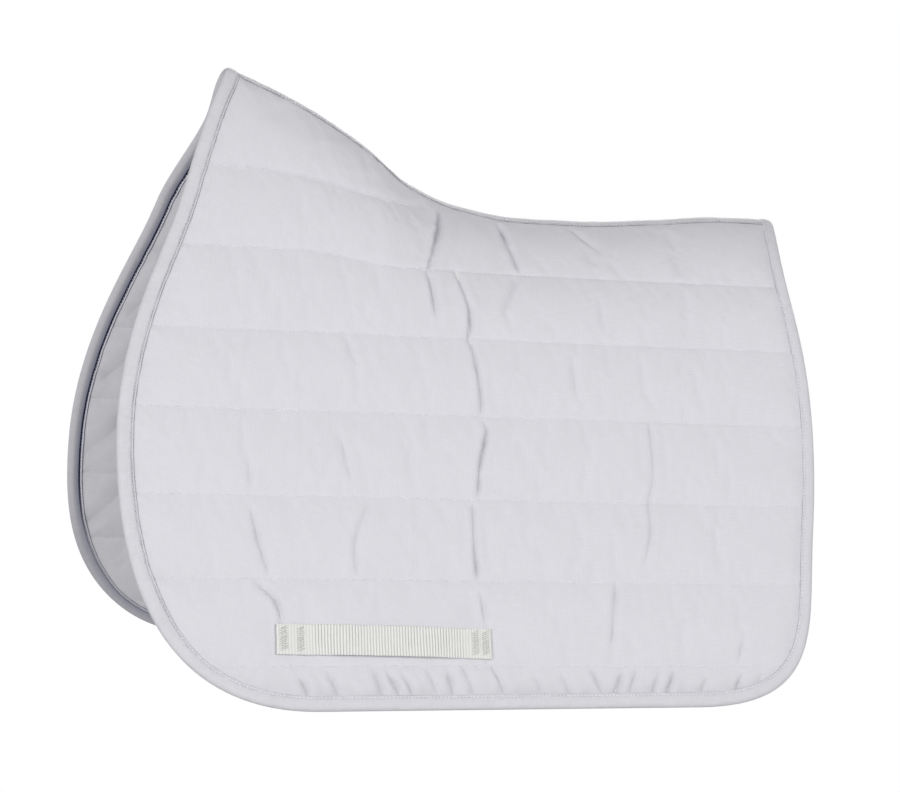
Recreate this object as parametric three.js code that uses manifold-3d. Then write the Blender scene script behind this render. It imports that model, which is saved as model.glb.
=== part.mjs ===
// A quilted saddle pad that hangs over a horse's back, in millimetres.
// +X points to the tail, +Y to the horse's right and +Z up. The origin is on the underside
// of the inner spine tape, at the lowest point of the spine.
//
// Each half is a sandwich of cover, wadding and lining, bound round its edge and sewn to the
// other half under two spine tapes. The sandwich is cut at a cylinder about the hinge line:
// the arch inside it stays with the spine, and the flap outside it swings.
// Every piece of the right half is modelled once and mirrored for the left half.

import * as THREE from "three";
import { mergeVertices } from "three/addons/utils/BufferGeometryUtils.js";
import Module from "manifold-3d";

const wasm = await Module();
wasm.setup();

// ---------------------------------------------------------------- driving dimensions

// Crest: height of the spine along the pad, as [x, z], from the withers to the loins.
const CREST = [
  [-333, 140], [-257, 109], [-190, 71], [-143, 36], [-95, 18],
  [-30, 9], [30, 9], [120, 15], [190, 21.5], [250, 22],
];

// Flap plane: half width = FLAP_Y + FLAP_DX * x - FLAP_SLOPE * z, 20 degrees off vertical.
const FLAP_Y = 74.3;
const FLAP_DX = -0.014;
const FLAP_SLOPE = 0.359;
const CURVE_DROP = 200; // below the crest, the surface is plane from here down
const CREST_FLAT = 5; // half width of the flat strip along the crest
const CREST_ROUND = 22; // drop at which the rounded crest has turned into the shoulder
const CREST_WIDEN = 10;

// Layers, as depths below the outer face of the binding.
const GAP = 0.3;
const PAD_DEPTH = 9;
const TAPE = 1;
const OUTER_TAPE = [0, TAPE];
const COVER = [1.3, 2.1];
const WADDING = [2.4, 6.6];
const LINING = [6.9, 7.7];
const INNER_TAPE = [PAD_DEPTH - TAPE, PAD_DEPTH];
const SEAM_HALF_GAP = 0.2; // between the two halves at the spine seam

// Binding: a tape folded round the edge.
const BINDING_WIDTH = 16;
const BINDING_WALL = 1.2;
const BINDING_STITCH_INSET = 14;
const SPINE_TAPE_HALF = 20;
const SPINE_STITCH_Q = 16.5; // place of the spine stitching, measured across the crest

// Thread
const THREAD_RADIUS = 0.4;
const THREAD_SIDES = 5;
const THREAD_LIFT = 0.5 + THREAD_RADIUS;
const SHOULDER_STEP = 12; // longest straight stretch of thread on the curved shoulder

// Hinge line of the flaps, in the middle plane, and the radius of the arch about it.
const HINGE_FRONT = new THREE.Vector3(-350, 0, 75);
const HINGE_REAR = new THREE.Vector3(250, 0, 5);
const ARCH_RADIUS = 80;
const ARCH_GAP = 1;
const ARCH_SIDES = 64;
const ARCH_LENGTH = 1400;

// Quilting rows as [x, z] points. The first runs over the shoulder into the spine seam.
const SHOULDER_ROW = [[-351, 41], [-307, 40], [-267, 36], [-216, 25], [-162, 15], [-141, 13.5]];
const CURVED_ROW = [[-380, -38], [-270, -38], [-170, -50], [240, -50]];
const STRAIGHT_ROWS = [-116, -190, -268, -342, -418]; // heights
const ROW_END_INSET = 17;

// Girth keeper: webbing sewn down at both ends.
const STRAP_MIDDLE = [-207.5, -397]; // x, z
const STRAP_TILT = [203, -4]; // run and rise from the front end to the rear end
const STRAP_LENGTH = 203;
const STRAP_WIDTH = 28;
const WEBBING = 1.4;
const FRONT_END = 28; // length of each sewn end
const REAR_END = 22;
const TACK = { width: 5.5, height: 0.6, margin: 1 };
const FRONT_TACKS = [7, 22.5]; // distances from the front end
const REAR_TACKS = [7, 16]; // distances from the rear end

// Grid of the surface: x stations, and drops below the crest. The cell that holds the middle
// of the crest is not cut through the origin, so that the resting face is one whole facet.
const STATIONS = [-480, -333, -283, -235, -200, -170, -142, -110, -75, -30, 10, 30, 100, 190, 275];
const DROPS = [2, 7, 16, 30, 50, 76, 110, 150, CURVE_DROP, 640];

// ---------------------------------------------------------------- the surface

const crestHeight = monotoneCurve(CREST);

// Monotone cubic curve through points, carried on in a straight line beyond the first one.
function monotoneCurve(points) {
  const rise = points.slice(1).map(([x, z], i) => (z - points[i][1]) / (x - points[i][0]));
  const slope = points.map((_, i) => {
    if (i === 0) return rise[0];
    if (i === points.length - 1) return 0;
    const product = rise[i - 1] * rise[i];
    return product <= 0 ? 0 : (2 * product) / (rise[i - 1] + rise[i]);
  });
  return (x) => {
    const [firstX, firstZ] = points[0];
    const [lastX, lastZ] = points[points.length - 1];
    if (x <= firstX) return firstZ + slope[0] * (x - firstX);
    if (x >= lastX) return lastZ;
    const i = points.findIndex((point) => x < point[0]) - 1;
    const [x0, z0] = points[i];
    const [x1, z1] = points[i + 1];
    const run = x1 - x0;
    const t = (x - x0) / run;
    const tail = t * t * (3 - 2 * t);
    const bend0 = t * (1 - t) ** 2 * run * slope[i];
    const bend1 = t * t * (t - 1) * run * slope[i + 1];
    return z0 + (z1 - z0) * tail + bend0 + bend1;
  };
}

// Half width at a drop below the crest, leaving out the rounding of the crest.
function flare(x, drop) {
  const atCrest = FLAP_Y + FLAP_DX * x - FLAP_SLOPE * crestHeight(x);
  const shoulder = atCrest - CREST_FLAT - CREST_WIDEN;
  const above = Math.max(0, 1 - drop / CURVE_DROP);
  return FLAP_SLOPE * drop + shoulder * (1 - above ** 4);
}

// q runs across the pad from the crest; this is the q at which the surface has dropped so far.
function acrossAt(drop) {
  return CREST_FLAT + (drop + Math.sqrt(drop * drop + 4 * drop * CREST_ROUND)) / 2;
}

// A point of the outer surface, on the right side for q > 0 and on the left for q < 0.
function outerPoint(x, q) {
  const side = Math.sign(q);
  const past = Math.max(0, Math.abs(q) - CREST_FLAT);
  const flat = Math.min(Math.abs(q), CREST_FLAT);
  const drop = (past * past) / (past + CREST_ROUND);
  const widen = CREST_WIDEN * (1 - Math.exp(-past / CREST_WIDEN));
  const y = past > 0 ? flat + widen + flare(x, drop) : flat;
  return new THREE.Vector3(x, side * y, crestHeight(x) - drop);
}

// The outward normal, from the surface's slopes.
function outerNormal(x, q) {
  const step = 0.01;
  const alongX = outerPoint(x + step, q).sub(outerPoint(x - step, q));
  const alongQ = outerPoint(x, q + step).sub(outerPoint(x, q - step));
  return alongX.cross(alongQ).normalize();
}

function layerPoint(x, q, depth) {
  return outerPoint(x, q).addScaledVector(outerNormal(x, q), -depth);
}

// A point on the facets of a layer's face, which lie a little inside the true surface.
function facetPoint(x, q, depth) {
  const i = lastBelow(STATIONS, x);
  const j = lastBelow(ACROSS, q);
  const u = (x - STATIONS[i]) / (STATIONS[i + 1] - STATIONS[i]);
  const v = (q - ACROSS[j]) / (ACROSS[j + 1] - ACROSS[j]);
  const corner = (di, dj) => layerPoint(STATIONS[i + di], ACROSS[j + dj], depth);
  const near = corner(0, 0);
  const far = corner(1, 1);
  const mid = u >= v ? corner(1, 0) : corner(0, 1);
  const [a, b] = u >= v ? [u, v] : [v, u];
  const point = near.clone();
  point.addScaledVector(mid.clone().sub(near), a);
  point.addScaledVector(far.sub(mid), b);
  return point;
}

function lastBelow(list, value) {
  const next = list.findIndex((entry) => entry > value);
  return Math.max(0, (next < 0 ? list.length - 1 : next) - 1);
}

// The q at which the outer surface of the right half has this height.
function acrossAtHeight(x, z) {
  return acrossAt(Math.max(0, crestHeight(x) - z));
}

const ACROSS = [CREST_FLAT, ...DROPS.map(acrossAt)];
const RIGHT_HALF = [SEAM_HALF_GAP, ...ACROSS];
const BOTH_HALVES = [...ACROSS.map((q) => -q).reverse(), ...ACROSS];

// ---------------------------------------------------------------- solids

function toSolid(geometry) {
  const bare = geometry.clone();
  bare.deleteAttribute("normal");
  bare.deleteAttribute("uv");
  const merged = mergeVertices(bare, 1e-4);
  return new wasm.Manifold(new wasm.Mesh({
    numProp: 3,
    vertProperties: new Float32Array(merged.attributes.position.array),
    triVerts: new Uint32Array(merged.index.array),
  }));
}

function toGeometry(solid) {
  const { numProp, vertProperties, triVerts } = solid.getMesh();
  const positions = new Float32Array(triVerts.length * 3);
  triVerts.forEach((vertex, corner) => {
    for (let axis = 0; axis < 3; axis += 1) {
      positions[corner * 3 + axis] = vertProperties[vertex * numProp + axis];
    }
  });
  const geometry = new THREE.BufferGeometry();
  geometry.setAttribute("position", new THREE.BufferAttribute(positions, 3));
  geometry.computeVertexNormals();
  return geometry;
}

// The space between two depths of the surface, over a list of q values.
function layer(across, [outer, inner]) {
  const points = [];
  STATIONS.forEach((x) => across.forEach((q) => {
    points.push(layerPoint(x, q, outer), layerPoint(x, q, inner));
  }));
  const rows = across.length;
  const at = (i, j, face) => 2 * (i * rows + j) + face;
  const triangles = [];
  const quad = (a, b, c, d) => triangles.push(a, b, c, a, c, d);
  for (let i = 0; i + 1 < STATIONS.length; i += 1) {
    for (let j = 0; j + 1 < rows; j += 1) {
      const top = [at(i, j, 0), at(i + 1, j, 0), at(i + 1, j + 1, 0), at(i, j + 1, 0)];
      const base = [at(i, j, 1), at(i, j + 1, 1), at(i + 1, j + 1, 1), at(i + 1, j, 1)];
      const mirrored = across[j] < 0;
      quad(...(mirrored ? [...top.slice(1), top[0]] : top));
      quad(...(mirrored ? [...base.slice(1), base[0]] : base));
    }
    quad(at(i, 0, 0), at(i, 0, 1), at(i + 1, 0, 1), at(i + 1, 0, 0));
    const end = rows - 1;
    quad(at(i, end, 1), at(i, end, 0), at(i + 1, end, 0), at(i + 1, end, 1));
  }
  const last = STATIONS.length - 1;
  for (let j = 0; j + 1 < rows; j += 1) {
    quad(at(0, j, 1), at(0, j, 0), at(0, j + 1, 0), at(0, j + 1, 1));
    quad(at(last, j, 0), at(last, j, 1), at(last, j + 1, 1), at(last, j + 1, 0));
  }
  const geometry = new THREE.BufferGeometry().setFromPoints(points);
  geometry.setIndex(triangles);
  return toSolid(geometry);
}

// The edge of the pad seen from the side, from the withers round to the loins.
function outlinePath() {
  const path = new THREE.Path();
  path.moveTo(-333, 140);
  path.bezierCurveTo(-362, 88, -371, 48, -387, 2);
  path.bezierCurveTo(-404, -49, -451, -125, -451, -232);
  path.bezierCurveTo(-451, -332, -424, -457, -272, -457);
  path.lineTo(97, -455);
  path.bezierCurveTo(228, -455, 221, -385, 235, -300);
  path.bezierCurveTo(269, -99, 231, -94, 250, 20);
  return path;
}

const OUTLINE = outlinePath();
const OUTLINE_STEPS = 9; // points along each curved stretch
const EDGE_TOP = 60; // how far the edge is carried on above the crest
const SKY = 260; // height and depth that clear the whole pad

// The edge moved inwards, as points in the x, z plane.
function insetEdge(inset) {
  const points = OUTLINE.getPoints(OUTLINE_STEPS);
  const count = points.length;
  const carriedOn = (from, to) => {
    const step = to.clone().sub(from).setLength(EDGE_TOP);
    return to.clone().add(step);
  };
  points.unshift(carriedOn(points[1], points[0]));
  points.push(carriedOn(points[count - 1], points[count]));
  return points.map((point, i) => {
    const before = points[Math.max(0, i - 1)];
    const after = points[Math.min(points.length - 1, i + 1)];
    const along = after.clone().sub(before).normalize();
    return new THREE.Vector2(point.x - along.y * inset, point.y + along.x * inset);
  });
}

// Everything inside the edge moved inwards, as a prism along Y.
function insideEdge(inset) {
  const edge = insetEdge(inset);
  const shape = new THREE.Shape(edge);
  shape.lineTo(edge[edge.length - 1].x, SKY);
  shape.lineTo(edge[0].x, SKY);
  const prism = new THREE.ExtrudeGeometry(shape, { depth: 4 * SKY, bevelEnabled: false });
  prism.translate(0, 0, -2 * SKY);
  prism.rotateX(Math.PI / 2);
  return toSolid(prism);
}

// A cylinder about the hinge line.
function hingeCylinder(radius) {
  const cylinder = new THREE.CylinderGeometry(radius, radius, ARCH_LENGTH, ARCH_SIDES);
  const along = HINGE_REAR.clone().sub(HINGE_FRONT).normalize();
  const turn = new THREE.Quaternion().setFromUnitVectors(new THREE.Vector3(0, 1, 0), along);
  cylinder.applyQuaternion(turn);
  const middle = HINGE_FRONT.clone().add(HINGE_REAR).multiplyScalar(0.5);
  cylinder.translate(middle.x, middle.y, middle.z);
  return toSolid(cylinder);
}

function block(low, high) {
  const size = high.map((value, axis) => value - low[axis]);
  const box = new THREE.BoxGeometry(...size);
  box.translate(...low.map((value, axis) => value + size[axis] / 2));
  return toSolid(box);
}

const ARCH = hingeCylinder(ARCH_RADIUS);
const OUTSIDE_ARCH = hingeCylinder(ARCH_RADIUS + ARCH_GAP);
const BEHIND = block([0, -2 * SKY, -2 * SKY], [4 * SKY, 2 * SKY, 2 * SKY]);

const archOf = (solid) => solid.intersect(ARCH);
const flapOf = (solid) => solid.subtract(OUTSIDE_ARCH);

// ---------------------------------------------------------------- sandwich and binding

function panelLayer(depths) {
  return layer(RIGHT_HALF, depths).intersect(insideEdge(BINDING_WALL + GAP));
}

// The binding is the edge zone of the whole thickness, less a pocket for the sandwich.
function bindingOver(across) {
  const zone = layer(across, [0, PAD_DEPTH]).intersect(insideEdge(0));
  const rim = zone.subtract(insideEdge(BINDING_WIDTH));
  const pocket = layer(across, [TAPE, PAD_DEPTH - TAPE]).intersect(insideEdge(BINDING_WALL));
  return rim.subtract(pocket);
}

function spineTape(depths) {
  const inside = insideEdge(BINDING_WIDTH + GAP);
  const strip = block([-2 * SKY, -SPINE_TAPE_HALF, -SKY], [2 * SKY, SPINE_TAPE_HALF, SKY]);
  return layer(BOTH_HALVES, depths).intersect(inside).intersect(strip);
}

// ---------------------------------------------------------------- thread

// Straight stretches between points, stepped through point by point.
class Polyline extends THREE.Curve {
  constructor(points) {
    super();
    this.points = points;
  }

  getPoint(t, target = new THREE.Vector3()) {
    const place = t * (this.points.length - 1);
    const i = Math.min(Math.floor(place), this.points.length - 2);
    return target.lerpVectors(this.points[i], this.points[i + 1], place - i);
  }

  getPointAt(u, target) {
    return this.getPoint(u, target);
  }

  getTangentAt(u, target) {
    return this.getTangent(u, target);
  }
}

// A thread that lies along points.
function thread(points) {
  const section = new THREE.Shape();
  for (let side = 0; side < THREAD_SIDES; side += 1) {
    const turn = (2 * Math.PI * side) / THREAD_SIDES;
    const corner = [THREAD_RADIUS * Math.cos(turn), THREAD_RADIUS * Math.sin(turn)];
    if (side === 0) section.moveTo(...corner);
    else section.lineTo(...corner);
  }
  const path = new Polyline(points);
  const options = { extrudePath: path, steps: points.length - 1, bevelEnabled: false };
  return new THREE.ExtrudeGeometry(section, options);
}

// Points on a layer's outer face, lifted so that a thread there clears it.
function onFace(places, depth) {
  return places.map(([x, z]) => {
    const q = acrossAtHeight(x, z);
    const lifted = outerNormal(x, q).multiplyScalar(THREAD_LIFT);
    return facetPoint(x, q, depth).add(lifted);
  });
}

function hingeDistance(point) {
  const along = HINGE_REAR.clone().sub(HINGE_FRONT).normalize();
  const from = point.clone().sub(HINGE_FRONT);
  return from.addScaledVector(along, -from.dot(along)).length();
}

// A row's points, at even steps in x and inside the binding.
function rowPlaces(points, steps) {
  const height = points.length > 2 ? monotoneCurve(points) : () => points[0][1];
  const edge = insetEdge(ROW_END_INSET);
  const crossing = (z, rising) => {
    const i = edge.findIndex((point, at) => {
      const next = edge[at + 1];
      return next && (rising ? point.y < z && next.y >= z : point.y > z && next.y <= z);
    });
    const part = (z - edge[i].y) / (edge[i + 1].y - edge[i].y);
    return edge[i].x + part * (edge[i + 1].x - edge[i].x);
  };
  const first = Math.max(points[0][0], crossing(points[0][1], false));
  const last = Math.min(points[points.length - 1][0], crossing(points[points.length - 1][1], true));
  return Array.from({ length: steps + 1 }, (_, i) => {
    const x = first + ((last - first) * i) / steps;
    return [x, height(x)];
  });
}

// The places with more put in between on the curved shoulder.
function finerOnShoulder(places) {
  return places.flatMap(([x, z], i) => {
    if (i === 0) return [[x, z]];
    const [x0, z0] = places[i - 1];
    const curved = crestHeight(x) - Math.max(z, z0) < CURVE_DROP;
    const count = curved ? Math.ceil(Math.hypot(x - x0, z - z0) / SHOULDER_STEP) : 1;
    return Array.from({ length: count }, (_, k) => {
      const part = (k + 1) / count;
      return [x0 + part * (x - x0), z0 + part * (z - z0)];
    });
  });
}

function bindingStitch() {
  const edge = insetEdge(BINDING_STITCH_INSET).map((point) => [point.x, point.y]);
  const places = finerOnShoulder(edge);
  const points = onFace(places.filter(([x, z]) => z < crestHeight(x)), 0);
  return thread(points.filter((point) => hingeDistance(point) > ARCH_RADIUS + 2 * ARCH_GAP));
}

function spineStitch() {
  const edge = insetEdge(ROW_END_INSET);
  const front = edge[1].x;
  const rear = edge[edge.length - 2].x;
  const steps = 40;
  const points = Array.from({ length: steps + 1 }, (_, i) => {
    const x = front + ((rear - front) * i) / steps;
    const lifted = outerNormal(x, SPINE_STITCH_Q).multiplyScalar(THREAD_LIFT);
    return facetPoint(x, SPINE_STITCH_Q, 0).add(lifted);
  });
  return thread(points);
}

// ---------------------------------------------------------------- girth keeper

// Turns strap coordinates (along the strap, down the flap, away from the flap) into the pad's.
function strapFrame() {
  const [x, z] = STRAP_MIDDLE;
  const q = acrossAtHeight(x, z);
  const away = outerNormal(x, q);
  const along = new THREE.Vector3(STRAP_TILT[0], 0, STRAP_TILT[1]);
  along.y = -(away.x * along.x + away.z * along.z) / away.y;
  along.normalize();
  const down = away.clone().cross(along);
  const frame = new THREE.Matrix4().makeBasis(along, down, away);
  return frame.setPosition(layerPoint(x, q, COVER[0]));
}

const STRAP_FRAME = strapFrame();
const STRAP_HALF = STRAP_LENGTH / 2;
const UPPER = 2 * GAP + WEBBING; // height of the underside of the upper ply

// A shape in the plane (along, away), made as wide as the webbing.
function acrossStrap(shape) {
  const geometry = new THREE.ExtrudeGeometry(shape, { depth: STRAP_WIDTH, bevelEnabled: false });
  geometry.translate(0, 0, -STRAP_WIDTH / 2);
  geometry.rotateX(Math.PI / 2);
  return geometry.applyMatrix4(STRAP_FRAME);
}

// An end of the webbing, folded under and sewn down; the fold is at `fold`.
function foldedEnd(fold, inner) {
  const towards = Math.sign(inner - fold);
  const shape = new THREE.Shape();
  shape.moveTo(fold, GAP);
  shape.lineTo(inner - 2 * towards, GAP);
  shape.lineTo(inner - 2 * towards, GAP + WEBBING);
  shape.lineTo(fold + WEBBING * towards, GAP + WEBBING);
  shape.lineTo(fold + WEBBING * towards, UPPER);
  shape.lineTo(inner, UPPER);
  shape.lineTo(inner, UPPER + WEBBING);
  shape.lineTo(fold, UPPER + WEBBING);
  return acrossStrap(shape);
}

function freeSpan() {
  const start = -STRAP_HALF + FRONT_END + GAP;
  const end = STRAP_HALF - REAR_END - GAP;
  const shape = new THREE.Shape();
  shape.moveTo(start, UPPER);
  shape.lineTo(end, UPPER);
  shape.lineTo(end, UPPER + WEBBING);
  shape.lineTo(start, UPPER + WEBBING);
  return acrossStrap(shape);
}

function barTack(along) {
  const length = STRAP_WIDTH - 2 * TACK.margin;
  const tack = new THREE.BoxGeometry(TACK.width, length, TACK.height);
  tack.translate(along, 0, UPPER + WEBBING + GAP + TACK.height / 2);
  return tack.applyMatrix4(STRAP_FRAME);
}

// ---------------------------------------------------------------- materials

const fabric = (color, roughness) => new THREE.MeshStandardMaterial({
  color,
  roughness,
  metalness: 0,
});
const COTTON = () => fabric(0xdedde4, 0.9);
const LINING_COTTON = () => fabric(0xd6d4dc, 0.92);
const FIBRE = () => fabric(0xefefef, 1);
const BINDING_TAPE = () => fabric(0xe2e1e8, 0.8);
const WEB = () => fabric(0xdddddb, 0.7);
const THREAD_WHITE = () => fabric(0xf1f0f4, 0.6);

// ---------------------------------------------------------------- assembly

const group = new THREE.Group();

function addMesh(name, geometry, material) {
  const mesh = new THREE.Mesh(geometry, material());
  mesh.name = name;
  group.add(mesh);
}

// The same shape on the other side of the middle plane.
function mirrored(geometry) {
  const flat = geometry.index ? geometry.toNonIndexed() : geometry.clone();
  const place = flat.getAttribute("position");
  const corner = [new THREE.Vector3(), new THREE.Vector3(), new THREE.Vector3()];
  for (let i = 0; i < place.count; i += 3) {
    corner.forEach((point, k) => point.fromBufferAttribute(place, i + k));
    [corner[0], corner[2], corner[1]].forEach((point, k) => {
      place.setXYZ(i + k, point.x, -point.y, point.z);
    });
  }
  flat.computeVertexNormals();
  return flat;
}

function addPair(name, geometry, material) {
  addMesh("right_" + name, geometry, material);
  addMesh("left_" + name, mirrored(geometry), material);
}

function addSpine() {
  const binding = archOf(bindingOver(BOTH_HALVES));
  addMesh("front_binding_bridge", toGeometry(binding.subtract(BEHIND)), BINDING_TAPE);
  addMesh("rear_binding_bridge", toGeometry(binding.intersect(BEHIND)), BINDING_TAPE);
  addMesh("spine_tape_outer", toGeometry(spineTape(OUTER_TAPE)), BINDING_TAPE);
  addMesh("spine_tape_inner", toGeometry(spineTape(INNER_TAPE)), BINDING_TAPE);
  addPair("spine_stitch", spineStitch(), THREAD_WHITE);
}

function addSandwich() {
  const sheets = [
    ["cover", COVER, COTTON],
    ["wadding", WADDING, FIBRE],
    ["lining", LINING, LINING_COTTON],
  ];
  sheets.forEach(([name, depths, material]) => {
    const sheet = panelLayer(depths);
    addPair(name + "_arch", toGeometry(archOf(sheet)), material);
    addPair(name, toGeometry(flapOf(sheet)), material);
  });
  addPair("binding", toGeometry(flapOf(bindingOver(RIGHT_HALF))), BINDING_TAPE);
}

function addStitching() {
  addPair("binding_stitch", bindingStitch(), THREAD_WHITE);
  const rows = [
    [SHOULDER_ROW, 22],
    [CURVED_ROW, 48],
    ...STRAIGHT_ROWS.map((z, i) => [[[-480, z], [275, z]], i === 0 ? 24 : 4]),
  ];
  rows.forEach(([points, steps], i) => {
    const places = rowPlaces(points, steps);
    addPair("quilt_stitch_" + (i + 1), thread(onFace(places, COVER[0])), THREAD_WHITE);
  });
}

function addGirthKeeper() {
  addPair("strap_front_end", foldedEnd(-STRAP_HALF, -STRAP_HALF + FRONT_END), WEB);
  addPair("strap_rear_end", foldedEnd(STRAP_HALF, STRAP_HALF - REAR_END), WEB);
  addPair("girth_strap", freeSpan(), WEB);
  FRONT_TACKS.forEach((from, i) => {
    addPair("front_bar_tack_" + (i + 1), barTack(from - STRAP_HALF), THREAD_WHITE);
  });
  REAR_TACKS.forEach((from, i) => {
    addPair("rear_bar_tack_" + (i + 1), barTack(STRAP_HALF - from), THREAD_WHITE);
  });
}

addSpine();
addSandwich();
addStitching();
addGirthKeeper();

export default group;
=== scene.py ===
"""A white quilted saddle pad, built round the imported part.

Shapes are worked out in millimetres for the right half (+Y) and mirrored for the left half;
make_mesh turns them into metres. A place on the pad's outer surface is given by x, along the pad,
and q, which grows from the crest of the spine down the flap. Depths go inwards from that surface.
"""

import math

import bpy
import numpy as np
from mathutils import Matrix, Vector


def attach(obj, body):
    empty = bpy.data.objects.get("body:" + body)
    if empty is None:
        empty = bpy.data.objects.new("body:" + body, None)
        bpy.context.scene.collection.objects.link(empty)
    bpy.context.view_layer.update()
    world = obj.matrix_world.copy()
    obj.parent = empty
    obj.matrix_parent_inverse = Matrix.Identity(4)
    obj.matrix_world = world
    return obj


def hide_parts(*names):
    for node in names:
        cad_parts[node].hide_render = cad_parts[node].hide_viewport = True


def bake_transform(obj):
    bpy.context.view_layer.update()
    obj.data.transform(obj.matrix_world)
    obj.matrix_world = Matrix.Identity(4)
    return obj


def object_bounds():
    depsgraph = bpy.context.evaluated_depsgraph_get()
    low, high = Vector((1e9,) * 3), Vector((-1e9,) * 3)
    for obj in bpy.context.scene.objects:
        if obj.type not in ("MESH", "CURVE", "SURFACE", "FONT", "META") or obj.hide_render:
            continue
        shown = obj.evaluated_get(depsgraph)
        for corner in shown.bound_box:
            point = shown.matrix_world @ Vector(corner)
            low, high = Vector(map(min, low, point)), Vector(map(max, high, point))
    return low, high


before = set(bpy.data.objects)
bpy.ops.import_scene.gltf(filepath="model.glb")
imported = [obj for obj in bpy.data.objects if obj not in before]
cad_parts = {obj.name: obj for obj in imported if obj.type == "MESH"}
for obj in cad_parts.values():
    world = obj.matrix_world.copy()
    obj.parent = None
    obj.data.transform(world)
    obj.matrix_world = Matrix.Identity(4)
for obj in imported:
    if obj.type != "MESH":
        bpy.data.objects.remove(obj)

CAD_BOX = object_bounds()
MM = 0.001
SIDES = {"right": 1, "left": -1}  # the sign of y on each side

# ---- the pad's outer surface

# Crest of the spine as x and z, from the withers to the loins
CREST_X = np.array([-333, -257, -190, -143, -95, -30, 30, 120, 190, 250], float)
CREST_Z = np.array([140, 109, 71, 36, 18, 9, 9, 15, 21.5, 22], float)
# The flap's plane: y = FLAP_Y + FLAP_DX x - FLAP_SLOPE z
FLAP_Y, FLAP_DX, FLAP_SLOPE = 74.3, -0.014, 0.359
CURVE_DROP = 200  # the surface is plane this far below the crest
CREST_FLAT, CREST_ROUND, CREST_WIDEN = 5, 22, 10  # its level half width, and how softly it turns down
SLOPE_LENGTH = math.hypot(1, FLAP_SLOPE)  # fabric per drop on the flap


def ease(low, high, value):
    """0 before low, 1 after high and smooth between."""
    t = np.clip((np.asarray(value, float) - low) / (high - low), 0, 1)
    return t * t * (3 - 2 * t)


def monotone(xs, zs):
    """Monotone cubic through points, straight on before the first one and level after the last."""
    rise = np.diff(zs) / np.diff(xs)
    slope = np.zeros(len(xs))
    slope[0] = rise[0]
    product = rise[:-1] * rise[1:]
    turning = product <= 0
    slope[1:-1] = np.where(turning, 0, 2 * product / np.where(turning, 1, rise[:-1] + rise[1:]))

    def curve(x):
        x = np.asarray(x, float)
        i = np.clip(np.searchsorted(xs, x, side="right") - 1, 0, len(xs) - 2)
        run = xs[i + 1] - xs[i]
        t = (x - xs[i]) / run
        z = zs[i] + (zs[i + 1] - zs[i]) * t * t * (3 - 2 * t)
        z = z + t * (1 - t) ** 2 * run * slope[i] + t * t * (t - 1) * run * slope[i + 1]
        z = np.where(x < xs[0], zs[0] + slope[0] * (x - xs[0]), z)
        return np.where(x > xs[-1], zs[-1], z)

    return curve


crest = monotone(CREST_X, CREST_Z)


def drop_at(q):
    """How far the surface at q lies below the crest."""
    past = np.maximum(q - CREST_FLAT, 0)
    return past * past / (past + CREST_ROUND)


def across_at(drop):
    """The q at which the surface lies this far below the crest."""
    drop = np.maximum(drop, 0)
    return CREST_FLAT + (drop + np.sqrt(drop * drop + 4 * drop * CREST_ROUND)) / 2


def outer_point(x, q):
    """The point of the outer surface at x and q."""
    past = np.maximum(q - CREST_FLAT, 0)
    drop = drop_at(q)
    shoulder = FLAP_Y + FLAP_DX * x - FLAP_SLOPE * crest(x) - CREST_FLAT - CREST_WIDEN
    flare = FLAP_SLOPE * drop + shoulder * (1 - np.maximum(0, 1 - drop / CURVE_DROP) ** 4)
    widen = CREST_WIDEN * (1 - np.exp(-past / CREST_WIDEN))
    y = np.where(past > 0, CREST_FLAT + widen + flare, q)
    return np.stack([x + 0 * y, y, crest(x) - drop], -1)


def unit(vectors):
    return vectors / np.linalg.norm(vectors, axis=-1, keepdims=True)


def outer_normal(x, q):
    step = 0.05
    along = outer_point(x + step, q) - outer_point(x - step, q)
    across = outer_point(x, q + step) - outer_point(x, q - step)
    return unit(np.cross(along, across))


def place(x, q, depth):
    """Points at a depth below the outer surface; a negative q is on the left."""
    x, q = np.asarray(x, float), np.asarray(q, float)
    size = np.abs(q)
    point = outer_point(x, size) - np.asarray(depth)[..., None] * outer_normal(x, size)
    return point * np.stack([np.ones_like(q), np.where(q < 0, -1, 1), np.ones_like(q)], -1)


# ---- the edge

# The edge seen from the side: Bezier curves from the withers down the front to the bottom, and from
# the bottom up the rear. The bottom between them is straight, and so is the last piece at the loins
FRONT_CURVES = [
    ((-333, 140), (-362, 88), (-371, 48), (-387, 2)),
    ((-387, 2), (-404, -49), (-451, -125), (-451, -232)),
    ((-451, -232), (-451, -332), (-424, -457), (-272, -457)),
]
REAR_CURVES = [
    ((97, -455), (228, -455), (221, -385), (235, -300)),
    ((235, -300), (271, -99), (221, -74), (250, 20)),
]
LOIN_END = (250.3, 22)
CURVE_POINTS = 40


def bezier(*corners):
    t = np.linspace(0, 1, CURVE_POINTS, endpoint=False)[:, None]
    p0, p1, p2, p3 = np.array(corners, float)
    return (1 - t) ** 3 * p0 + 3 * (1 - t) ** 2 * t * p1 + 3 * (1 - t) * t * t * p2 + t ** 3 * p3


EDGE = np.concatenate([
    *(bezier(*corners) for corners in FRONT_CURVES),
    [FRONT_CURVES[-1][-1]],
    *(bezier(*corners) for corners in REAR_CURVES),
    [LOIN_END],
])
# The edge carried on past both ends
EDGE_LONG = np.concatenate([[EDGE[0] + (EDGE[0] - EDGE[1]) * 12], EDGE, [EDGE[-1] + (0.5, 60)]])


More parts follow.
